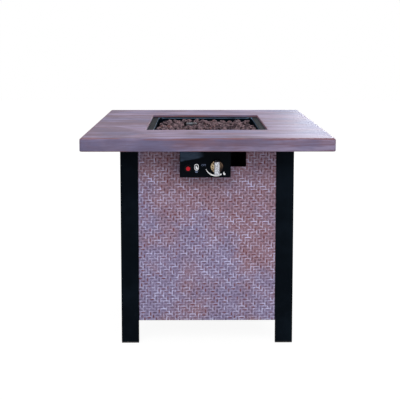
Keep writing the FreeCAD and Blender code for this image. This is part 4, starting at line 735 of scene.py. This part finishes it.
def strand_height(across, up):
    """Relief of the twill at a place in strand widths, from 0 in the grooves to 1 on a float's crown.

    Four strands make a repeat. Each float is two strands long and one wide, level where the sum of
    column and row leaves 0 or 1 on division by four, upright elsewhere. Its height is a flat-topped
    crown across it times a flat-topped arch along it."""
    column, row = np.floor(across + 1e-6), np.floor(up + 1e-6)
    phase = np.mod(column + row, 4)
    level = phase < 1.5
    side, rise = across - column, up - row
    second = np.mod(phase, 2) > 0.5
    run = np.where(level, side, rise) + second
    cross = np.where(level, rise, side)
    crown = 1 - np.abs(2 * cross - 1) ** 3
    arch = 1 - np.abs(run - 1) ** 5
    return np.clip(crown, 0, 1) * (0.35 + 0.65 * np.clip(arch, 0, 1))


def strand_lines(low, high, pitch, stops=()):
    """Grid lines from low to high: five to each strand, with the stops put in place of the nearest line."""
    first, last = math.floor(low / pitch), math.ceil(high / pitch)
    fractions = np.array([0.0, 0.14, 0.36, 0.64, 0.86])
    lines = ((np.arange(first, last)[:, None] + fractions) * pitch).ravel()
    lines = lines[(lines > low + 0.0002) & (lines < high - 0.0002)]
    for stop in stops:
        lines[np.abs(lines - stop).argmin()] = stop
    return np.concatenate([[low], lines, [high]])


def woven_sheet(settings, half, low, high, face, back, hole=None, shift=0.0):
    """Slab with the twill on its front, for a panel whose outside looks along -Y.

    Its front is the strand height on a grid of strand lines; the back is flat, and walls close the
    rim and the hole."""
    columns = strand_lines(-half, half, settings.pitch_across, hole[:2] if hole else ())
    levels = strand_lines(low, high, settings.pitch_up, hole[2:] if hole else ())
    x, z = np.meshgrid(columns, levels)
    across, up = x / settings.pitch_across + 400.0 + shift, z / settings.pitch_up + 400.0
    relief = strand_height(across, up) * settings.relief
    rim = np.minimum(np.minimum(half - np.abs(x), z - low), high - z)
    keep = np.ones((len(levels) - 1, len(columns) - 1), bool)
    if hole:
        middle_x = (columns[:-1] + columns[1:]) / 2
        middle_z = (levels[:-1] + levels[1:]) / 2
        inside = (middle_x > hole[0]) & (middle_x < hole[1])
        keep[np.ix_((middle_z > hole[2]) & (middle_z < hole[3]), inside)] = False
        away = np.maximum(np.maximum(hole[0] - x, x - hole[1]), np.maximum(hole[2] - z, z - hole[3]))
        rim = np.minimum(rim, np.abs(away))
    relief = relief * np.clip(rim / 0.0015, 0.25, 1)
    form = Form()
    strands = np.stack([across, up], axis=-1)
    front = form.grid(np.stack([x, -(face + relief), z], axis=-1), strands, keep=keep)
    rear = form.grid(np.stack([x, np.full_like(x, -back), z], axis=-1), strands, keep=np.zeros_like(keep))
    close_back(form, front, rear, keep)
    return form


def close_back(form, front, rear, keep):
    """Close a slab: walls along every border of the kept quads, and upright strips over the back."""
    padded = np.pad(keep, 1)
    inner = padded[1:-1, 1:-1]
    borders = (
        (inner & ~padded[:-2, 1:-1], (0, 0), (0, 1)),
        (inner & ~padded[2:, 1:-1], (1, 1), (1, 0)),
        (inner & ~padded[1:-1, :-2], (1, 0), (0, 0)),
        (inner & ~padded[1:-1, 2:], (0, 1), (1, 1)),
    )
    walls = []
    for cells, start, end in borders:
        rows, columns = np.nonzero(cells)
        a = (rows + start[0], columns + start[1])
        b = (rows + end[0], columns + end[1])
        walls.append(np.stack([front[b], front[a], rear[a], rear[b]], axis=-1))
    walls = np.concatenate(walls)
    form.corners.append(walls.ravel())
    form.counts.append(np.full(len(walls), 4))
    form.uvs.append(np.zeros((len(walls) * 4, 2)))
    for column in range(keep.shape[1]):
        steps = np.flatnonzero(np.diff(np.concatenate([[0], keep[:, column].astype(int), [0]])))
        for bottom, top in zip(steps[::2], steps[1::2]):
            left_open = column == 0 or not keep[bottom:top, column - 1].all()
            right_open = column == keep.shape[1] - 1 or not keep[bottom:top, column + 1].all()
            left = needed(keep, column - 1, bottom, top) if left_open else [bottom, top]
            right = needed(keep, column + 1, bottom, top) if right_open else [bottom, top]
            loop = [rear[r, column] for r in left] + [rear[r, column + 1] for r in reversed(right)]
            form.face(loop)


def needed(keep, beside, bottom, top):
    """Rows that a back strip shares with its neighbour: row ends beside a gap, and the strip's own ends."""
    rows = {bottom, top}
    for row in range(bottom, top):
        if beside < 0 or beside >= keep.shape[1] or not keep[row, beside]:
            rows.update((row, row + 1))
    return sorted(rows)


def quarter_turn(form, turns):
    """Turn a form round the upright axis by quarter turns."""
    cosine, sine = (round(f(turns * math.pi / 2)) for f in (math.cos, math.sin))
    turn = np.array([[cosine, -sine, 0], [sine, cosine, 0], [0, 0, 1]])
    form.points = [points @ turn.T for points in form.points]


class FIRETABLE_OT_panels(bpy.types.Operator):
    """Lay the woven relief over the three panels and the rear door"""

    bl_idname = "firetable.panels"
    bl_label = "Woven panels"

    def execute(self, context):
        settings = context.scene.fire_table_weave
        finish = woven_finish(settings)
        sheets = (
            ("front_weave", "table", 0, 0.2016, 0.0682, 0.6055, 0.25105, NOTCH),
            ("right_weave", "table", 1, 0.2016, 0.0682, 0.6055, 0.25105, None),
            ("rear_door_weave", "door", 2, 0.1980, 0.0702, 0.5878, 0.25165, None),
            ("left_weave", "table", 3, 0.2016, 0.0682, 0.6055, 0.25105, None),
        )
        for name, body, turns, half, low, high, face, hole in sheets:
            form = woven_sheet(settings, half, low, high, face, face - 0.0006, hole, shift=turns * 1.37)
            quarter_turn(form, turns)
            piece = form.object(name, finish, body, sharp=60, layer="strands")
        give(coated("panel_paint", screen(70, 56, 62), 0.6, 0.2),
             "front_panel", "left_panel", "right_panel", "rear_door")
        return {"FINISHED"}


# Frame


class FIRETABLE_OT_frame(bpy.types.Operator):
    """Give the legs, rails, shelf, door hardware and fixings their finishes"""

    bl_idname = "firetable.frame"
    bl_label = "Frame and fixings"

    def execute(self, context):
        satin = coated("satin_black", (0.0012, 0.0028, 0.0052, 1), 0.6, 0.03)
        give(satin, "leg_front_left", "leg_front_right", "leg_rear_left", "leg_rear_right", "door_pull",
             "hinge_door_leaves", "hinge_leg_leaves")
        sides = ("front", "left", "rear", "right")
        matt = coated("matt_black", (0.010, 0.011, 0.013, 1), 0.62, 0.2, 500.0)
        give(matt, "top_braces", "base_shelf", "tank_ring",
             *(f"{level}_rail_{side}" for level in ("upper", "lower") for side in sides))
        give(coated("screw_black", (0.0014, 0.003, 0.0055, 1), 0.5, 0.05),
             "rail_bolts", "top_screws", "box_screws")
        give(plain_metal("zinc", (0.55, 0.56, 0.58, 1), 0.38, (0.42, 0.43, 0.40, 1)),
             "tank_screw", "hinge_pins", "catch_plate", "burner_nut", "stem_collar", "lead_clips")
        give(moulded("foot_plastic", (0.012, 0.012, 0.013, 1), 0.55), "leg_feet", "door_magnet")
        return {"FINISHED"}


# Controls and gas parts


def box_gloss():
    """Black gloss coat with a grey-blue patch over the upper left of its front, partly a bare label and
    partly a painted reflection.
    """
    finish = Finish("box_gloss", roughness=0.28, specular=0.03)
    x, _, z = finish.parts(finish.place)
    streak = finish.noise(finish.stretched(finish.place, (18.0, 1.0, 110.0)), 1.0, 4.0, 0.6, 1.0)
    lower = 0.5525 + (x + 0.079) * 0.19 + (streak - 0.5) * 0.012
    height = (z - lower).ramp(0.0, 0.0022) * (z + (x + 0.079) * 0.22).ramp(0.5965, 0.5905)
    # Painted reflection: a streaked grey-blue patch over the upper left of the front, standing also for a
    # bare label there.
    reflection_haze = height * x.ramp(-0.006, -0.030) * x.ramp(-0.0785, -0.0765)
    reflection_haze = reflection_haze * (0.55 + 0.45 * streak.ramp(0.35, 0.65))
    colour = finish.blend(reflection_haze * 0.9, (0.0012, 0.0026, 0.0050, 1), screen(72, 88, 110))
    finish.bump(finish.noise(finish.place, 400.0, 2.0), 0.0002, 0.25)
    return finish.paint(colour, roughness=0.24 + streak * 0.12)


def knob_metal():
    """Worn chrome: a dark disc with painted golden reflections that darken towards the right, and a paler,
    speckled grip bar.
    """
    finish = Finish("knob_metal", roughness=0.3, metallic=1.0)
    x, y, _ = finish.parts(finish.place)
    gold_reflection = finish.noise(finish.place, 62.0, 3.0, 0.6, 0.6)
    speck = finish.noise(finish.place, 420.0, 3.0, 0.65)
    # Painted reflection: the golden band and the darkening towards the right are put into the disc's colour
    # by place.
    glint = (gold_reflection - (x - 0.027) * 9.0) + 0.03
    disc = finish.stops(glint, (0.40, (0.022, 0.016, 0.016, 1)), (0.56, (0.13, 0.085, 0.055, 1)),
                        (0.68, (0.60, 0.47, 0.29, 1)), (0.80, (0.09, 0.062, 0.045, 1)))
    pale = finish.blend(speck.ramp(0.48, 0.60), (0.62, 0.64, 0.70, 1), (0.22, 0.21, 0.23, 1))
    bar = (y < -0.3034)
    finish.bump(speck, 0.0003, 0.5)
    return finish.paint(finish.blend(bar, disc, pale), roughness=0.22 + bar * 0.2)


def turned_rings(profile, centre, steps=64):
    """Rings round an axis along Y: each profile row is a radius and a distance towards the front."""
    radius, depth = np.array(profile, float).T[:, :, None]
    angle = np.linspace(0, 2 * math.pi, steps + 1)[:-1]
    rings = (centre[0] + radius * np.cos(angle), -depth + 0 * angle, centre[1] + radius * np.sin(angle))
    return np.stack(rings, axis=-1) * MM


def knob_form():
    """Rolled disc, and a tapered grip bar carried out from it as rounded rectangles."""
    axis = KNOB_AXIS
    roll = np.radians(np.linspace(0, 90, 7))
    edge = [(18 - 2.5 + 2.5 * math.cos(a), 300.5 + 2.5 * math.sin(a)) for a in roll]
    disc = [(16.8, 297.0), (18.0, 297.6)] + edge + [(13.2, 303.0), (12.6, 302.6), (11.8, 302.6)]
    form = Form()
    index = form.grid(turned_rings(disc, axis), close_columns=True)
    form.fan(index[0, :-1], np.array([axis[0], -297.0, axis[1]]) * MM)
    form.fan(index[-1, :-1], np.array([axis[0], -302.6, axis[1]]) * MM, flip=True)
    sections = ((0.0, 302.0), (0.15, 304.0), (0.5, 309.0), (0.9, 314.5),
                (1.3, 316.2), (2.1, 317.3), (3.2, 317.9))
    loops = []
    for inset, depth in sections:
        loop = rounded_rectangle(8.4 - inset, 20.3 - inset, 3.4 - 0.4 * inset, 6, 8)
        out = np.full(len(loop), -depth)
        loops.append(np.column_stack([axis[0] + loop[:, 0], out, axis[1] - 2.5 + loop[:, 1]]))
    index = form.grid(np.stack(loops) * MM, close_columns=True)
    form.face(index[0, :-1])
    form.face(index[-1, :-1][::-1])
    return form


def strip(form, outer, inner, closed=False):
    """Thin raised print on the box's front, between two lines of points across and up."""
    lines = ((outer, PRINT_BACK), (outer, PRINT_FACE), (inner, PRINT_FACE), (inner, PRINT_BACK))
    points = np.stack([np.column_stack([line[:, 0], np.full(len(line), -depth), line[:, 1]])
                       for line, depth in lines])
    index = form.grid(points * MM, close_rows=True, close_columns=closed)
    if not closed:
        form.face(index[:-1, 0])
        form.face(index[:-1, -1][::-1])


def flame_line(middle, base, width, height, count=18):
    """Outline of a small flame, from its base up one side to the tip and down the other, as two lines."""
    t = np.linspace(0.02, 0.98, count)
    half = width / 2 * np.sin(math.pi * t ** 0.62) * (1 - 0.25 * t)
    lean = width * 0.16 * np.sin(2.2 * math.pi * t)
    up = base + height * t
    return np.column_stack([middle + lean + half, up]), np.column_stack([middle + lean - half, up])


def box_marks():
    """White marks: the growing flow arc under the knob, a flame at its end and a spark sign by the button."""
    form = Form()
    share = np.linspace(0, 1, 40)
    angle = np.radians(196 + 104 * share)
    middle = np.interp(share, (0, 0.6, 1), (32.2, 28.2, 26.8))
    half = np.interp(share, (0, 0.25, 0.6, 1), (0.6, 1.6, 2.4, 2.2))
    rays = np.column_stack([np.cos(angle), np.sin(angle)])
    strip(form, *(KNOB_AXIS + rays * radius[:, None] for radius in (middle + half, middle - half)))
    strip(form, *flame_line(48.0, 514.4, 6.4, 10.4))
    capsule = rounded_rectangle(6.2, 9.4, 6.1, 10, 4)
    hollow = rounded_rectangle(4.3, 7.5, 4.2, 10, 4)
    strip(form, capsule + (-31, 537.4), hollow + (-31, 537.4), closed=True)
    strip(form, *flame_line(-31.0, 531.0, 6.4, 12.0))
    return form


def level_bar(form, middle, height, half_across, half_up):
    """Short level bar of print."""
    across = np.array([-half_across, half_across]) + middle
    strip(form, *(np.column_stack([across, [line] * 2]) for line in (height + half_up, height - half_up)))


def word_mesh(word, middle, height, size):
    """Mesh of a plain word set on the box's front, a little raised."""
    curve = bpy.data.curves.new(word, "FONT")
    curve.body, curve.size, curve.extrude = word, size, 0.0001
    curve.align_x, curve.align_y = "CENTER", "CENTER"
    holder = bpy.data.objects.new(word, curve)
    bpy.context.scene.collection.objects.link(holder)
    bpy.context.view_layer.update()
    mesh = bpy.data.meshes.new_from_object(holder)
    bpy.data.objects.remove(holder)
    points = np.zeros(len(mesh.vertices) * 3, np.float32)
    mesh.vertices.foreach_get("co", points)
    x, y, z = points.reshape(-1, 3).T
    placed = np.stack([x + middle, -(z + 0.29225), y + height], axis=-1)
    mesh.vertices.foreach_set("co", placed.astype(np.float32).ravel())
    mesh.update()
    return mesh


class FIRETABLE_OT_controls(bpy.types.Operator):
    """Dress the control box, its knob, button and markings"""

    bl_idname = "firetable.controls"
    bl_label = "Controls"

    def execute(self, context):
        give(box_gloss(), "control_box")
        knob = knob_form().object("knob_shell", knob_metal(), "knob", sharp=50)
        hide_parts("control_knob")
        white = moulded("white_print", screen(250, 252, 255), 0.6, 0.1)
        grey = moulded("grey_print", screen(118, 132, 164), 0.6, 0.1)
        box_marks().object("flow_marks", white, "table", sharp=30)
        bars = Form()
        level_bar(bars, -31, 526.2, 4.2, 1.1)
        level_bar(bars, -31, 522.6, 3.2, 1.1)
        bars.object("spark_bars", grey, "table", sharp=30)
        mesh = word_mesh("OFF", -0.0106, 0.5430, 0.0078)
        mesh.materials.clear()
        mesh.materials.append(grey)
        off_mark = bpy.data.objects.new("off_mark", mesh)
        bpy.context.scene.collection.objects.link(off_mark)
        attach(off_mark, "table")
        give(moulded("button_red", screen(196, 24, 40), 0.4, 0.2), "igniter_button")
        give(moulded("black_plastic", (0.004, 0.004, 0.006, 1), 0.5, 0.08), "igniter_body", "igniter_nut")
        return {"FINISHED"}


def pan_enamel():
    """Blue-black enamel with a painted pale highlight along the rounded mouth of the pan."""
    finish = Finish("pan_enamel", roughness=0.4, specular=0.006)
    x, y, z = finish.parts(finish.place)
    reach = x.distance(0.0).most(y.distance(0.0))
    reflection_haze = finish.noise(finish.place, 30.0, 3.0, 0.6)
    on_flange = z.ramp(0.6205, 0.6215)
    # Painted highlight: a pale blue band on the flange along the pan's rounded mouth, broken by noise.
    mouth = reach.ramp(0.1605, 0.1612) * reach.ramp(0.1640, 0.1628) * on_flange
    patchy_rim = mouth * (0.5 + 0.5 * reflection_haze.ramp(0.35, 0.6))
    colour = finish.blend(patchy_rim, (0.0022, 0.0048, 0.0085, 1), screen(112, 140, 170))
    finish.bump(finish.noise(finish.place, 500.0, 2.0), 0.0002, 0.3)
    return finish.paint(colour, roughness=0.34 + reflection_haze * 0.14)


def stem_coil():
    """Spring wire: at each step of a helix along Y, a circle across the wire's own direction.

    Also gives the share of its length that the spring keeps when the knob is pressed."""
    low, high = (np.array(corner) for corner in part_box("stem_spring"))
    wire, steps, sides = WIRE_RADIUS * MM, 112, 12
    radius = (high[0] - low[0]) / 2 - wire
    turn = np.linspace(0, 2 * math.pi * COIL_TURNS, steps + 1)
    outward = np.stack([np.cos(turn), 0 * turn, np.sin(turn)], axis=-1)
    path = (low + high) / 2 * (1, 0, 1) + radius * outward
    path[:, 1] = np.linspace(low[1] + wire, high[1] - wire, steps + 1)
    ahead = np.gradient(path, axis=0)
    across = np.cross(ahead / np.linalg.norm(ahead, axis=1, keepdims=True), outward)
    around = np.linspace(0, 2 * math.pi, sides + 1)[None, :-1, None]
    form = Form()
    circles = wire * (np.cos(around) * outward[:, None] + np.sin(around) * across[:, None])
    index = form.grid(path[:, None] + circles, close_columns=True)
    form.fan(index[0, :-1], path[0])
    form.fan(index[-1, :-1], path[-1], flip=True)
    return form, float(high[1]), float(1 - STEM_TRAVEL * MM / (high[1] - low[1]))


class FIRETABLE_OT_gas(bpy.types.Operator):
    """Give the valve, tubes, leads and burner parts their metals"""

    bl_idname = "firetable.gas"
    bl_label = "Gas parts"

    def execute(self, context):
        alloy = plain_metal("die_cast", (0.52, 0.53, 0.55, 1), 0.5, (0.40, 0.41, 0.42, 1))
        give(alloy, "valve_body", "valve_bonnet", "feed_tube")
        brass = plain_metal("brass", (0.60, 0.43, 0.18, 1), 0.32, (0.42, 0.28, 0.12, 1))
        give(brass, "inlet_fitting", "gas_orifice", "tube_nuts", "valve_stem")
        steel = plain_metal("stainless", (0.50, 0.49, 0.48, 1), 0.28, (0.34, 0.26, 0.20, 1))
        give(steel, "air_mixer", "ring_burner", "igniter_bracket", "thermocouple")
        give(plain_metal("tinted_steel", (0.15, 0.17, 0.21, 1), 0.42, (0.055, 0.05, 0.055, 1)), "flame_hood")
        give(plain_metal("copper", (0.60, 0.30, 0.17, 1), 0.35, (0.40, 0.18, 0.10, 1)), "thermocouple_lead")
        give(moulded("lead_sleeve", (0.05, 0.045, 0.045, 1), 0.5), "ignition_lead")
        give(moulded("ceramic", (0.78, 0.75, 0.68, 1), 0.2, 0.6), "spark_electrode")
        give(pan_enamel(), "burner_pan")
        form, fixed_end, keep = stem_coil()
        spring = form.object("stem_coil", plain_metal("spring_steel", (0.55, 0.56, 0.58, 1), 0.32,
                                                      (0.42, 0.43, 0.40, 1)), "table", sharp=60)
        weld(spring)
        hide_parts("stem_spring")
        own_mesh(spring)
        return {"FINISHED"}


# Lava rock


def rock_shapes():
    """Centre and face planes of every rock of the CAD fill, from its triangles."""
    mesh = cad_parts["lava_rocks"].data
    corners = np.zeros(len(mesh.loops), np.int32)
    mesh.loops.foreach_get("vertex_index", corners)
    points = np.zeros(len(mesh.vertices) * 3, np.float32)
    mesh.vertices.foreach_get("co", points)
    triangles = points.reshape(-1, 3)[corners].reshape(-1, 3, 3).astype(float)
    keys = np.round(triangles.reshape(-1, 3) * 1e5).astype(np.int64)
    _, names = np.unique(keys, axis=0, return_inverse=True)
    names = names.reshape(-1, 3)
    group = np.arange(names.max() + 1)
    while True:
        least = group[names].min(axis=1)
        merged = group.copy()
        np.minimum.at(merged, names.ravel(), np.repeat(least, 3))
        merged = merged[merged]
        if (merged == group).all():
            break
        group = merged
    owner = group[names[:, 0]]
    shapes = []
    for number in np.unique(owner):
        mine = triangles[owner == number]
        centre = mine.reshape(-1, 3).mean(axis=0)
        normal = np.cross(mine[:, 1] - mine[:, 0], mine[:, 2] - mine[:, 0])
        normal /= np.linalg.norm(normal, axis=1, keepdims=True)
        reach = ((mine[:, 0] - centre) * normal).sum(axis=1)
        shapes.append((centre, normal, reach))
    return shapes


def cube_directions(steps):
    """Unit directions over a cube's six faces, each a grid of equal angles, as a list of grids."""
    angle = np.tan(np.linspace(-math.pi / 4, math.pi / 4, steps + 1))
    a, b = np.meshgrid(angle, angle)
    one = np.ones_like(a)
    faces = [(one, a, b), (-one, b, a), (b, one, a), (a, -one, b), (a, b, one), (b, a, -one)]
    grids = [np.stack(face, axis=-1) for face in faces]
    return [grid / np.linalg.norm(grid, axis=-1, keepdims=True) for grid in grids]


def ripple(directions, numbers, waves):
    """Sum of a few plane waves over the directions, each with its own heading, phase and weight."""
    total = np.zeros(directions.shape[:-1])
    for frequency, weight in waves:
        for _ in range(4):
            heading = numbers.normal(size=3)
            heading *= frequency / np.linalg.norm(heading)
            total += weight / 4 * np.sin(directions @ heading + numbers.uniform(0, 2 * math.pi))
    return total


def rock_surface(directions, shape, numbers_seed):
    """Rock as a radius over each direction: its nearest face plane, softened, then rippled and pitted.

    The softened least of the plane distances rounds the edges; waves roughen it and round dents pit it."""
    centre, normal, reach = shape
    numbers = np.random.default_rng(numbers_seed)
    toward = np.clip(directions @ normal.T, 0.05, None)
    sharpness = 16.0
    distance = reach / toward / reach.mean()
    radius = (distance ** -sharpness).sum(axis=-1) ** (-1 / sharpness) * reach.mean()
    radius *= 0.985 + 0.10 * ripple(directions, numbers, ((4.5, 0.9), (9.0, 0.6), (18.0, 0.35)))
    seeds = numbers.normal(size=(26, 3))
    seeds /= np.linalg.norm(seeds, axis=1, keepdims=True)
    widths = numbers.uniform(0.10, 0.26, 26)
    near = np.arccos(np.clip(directions @ seeds.T, -1, 1)) / widths
    dents = np.clip(1 - near ** 2, 0, 1) * widths
    radius *= 1 - 0.55 * dents.max(axis=-1)
    return centre + directions * radius[..., None]


class FIRETABLE_OT_rocks(bpy.types.Operator):
    """Replace the facetted fill with rough, pitted lava rocks"""

    bl_idname = "firetable.rocks"
    bl_label = "Lava rock"

    def execute(self, context):
        settings = context.scene.fire_table_rocks
        shapes = rock_shapes()
        seen, buried = cube_directions(settings.steps), cube_directions(settings.steps // 2)
        finish = lava(settings)
        for first, name in enumerate(("lava_rocks_a", "lava_rocks_b", "lava_rocks_c")):
            form = Form()
            for number in range(first, len(shapes), 3):
                near_top = shapes[number][0][2] > ROCK_SIGHT_LINE
                for directions in seen if near_top else buried:
                    form.grid(rock_surface(directions, shapes[number], settings.seed * 1000 + number))
            piece = form.object(name, finish, "table")
            weld(piece)
            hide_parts("lava_rocks")
        return {"FINISHED"}


def weld(piece):
    """Merge points that meet where two grids share a border."""
    mesh = piece.data
    work = bmesh.new()
    work.from_mesh(mesh)
    bmesh.ops.remove_doubles(work, verts=work.verts, dist=1e-6)
    bmesh.ops.recalc_face_normals(work, faces=work.faces)
    work.to_mesh(mesh)
    work.free()


# Panel in the sidebar


OPERATORS = (
    FIRETABLE_OT_stage,
    FIRETABLE_OT_tabletop,
    FIRETABLE_OT_panels,
    FIRETABLE_OT_frame,
    FIRETABLE_OT_controls,
    FIRETABLE_OT_gas,
    FIRETABLE_OT_rocks,
)


class FIRETABLE_PT_sidebar(bpy.types.Panel):
    """List of the table's pieces and their settings"""

    bl_idname = "FIRETABLE_PT_sidebar"
    bl_label = "Fire table"
    bl_space_type = "VIEW_3D"
    bl_region_type = "UI"
    bl_category = "Fire table"

    def draw(self, context):
        for operator in OPERATORS:
            self.layout.operator(operator.bl_idname)


PROPERTIES = {
    "fire_table_stage": FireTableStage,
    "fire_table_top": FireTableTop,
    "fire_table_weave": FireTableWeave,
    "fire_table_rocks": FireTableRocks,
}
CLASSES = (*PROPERTIES.values(), *OPERATORS, FIRETABLE_PT_sidebar)


def register():
    for kind in CLASSES:
        bpy.utils.register_class(kind)
    for name, group in PROPERTIES.items():
        setattr(bpy.types.Scene, name, PointerProperty(type=group))


def unregister():
    for name in PROPERTIES:
        delattr(bpy.types.Scene, name)
    for kind in reversed(CLASSES):
        bpy.utils.unregister_class(kind)


def main():
    register()
    for operator in OPERATORS:
        group, name = operator.bl_idname.split(".")
        getattr(getattr(bpy.ops, group), name)()
    bpy.context.view_layer.update()


if __name__ == "__main__":
    main()
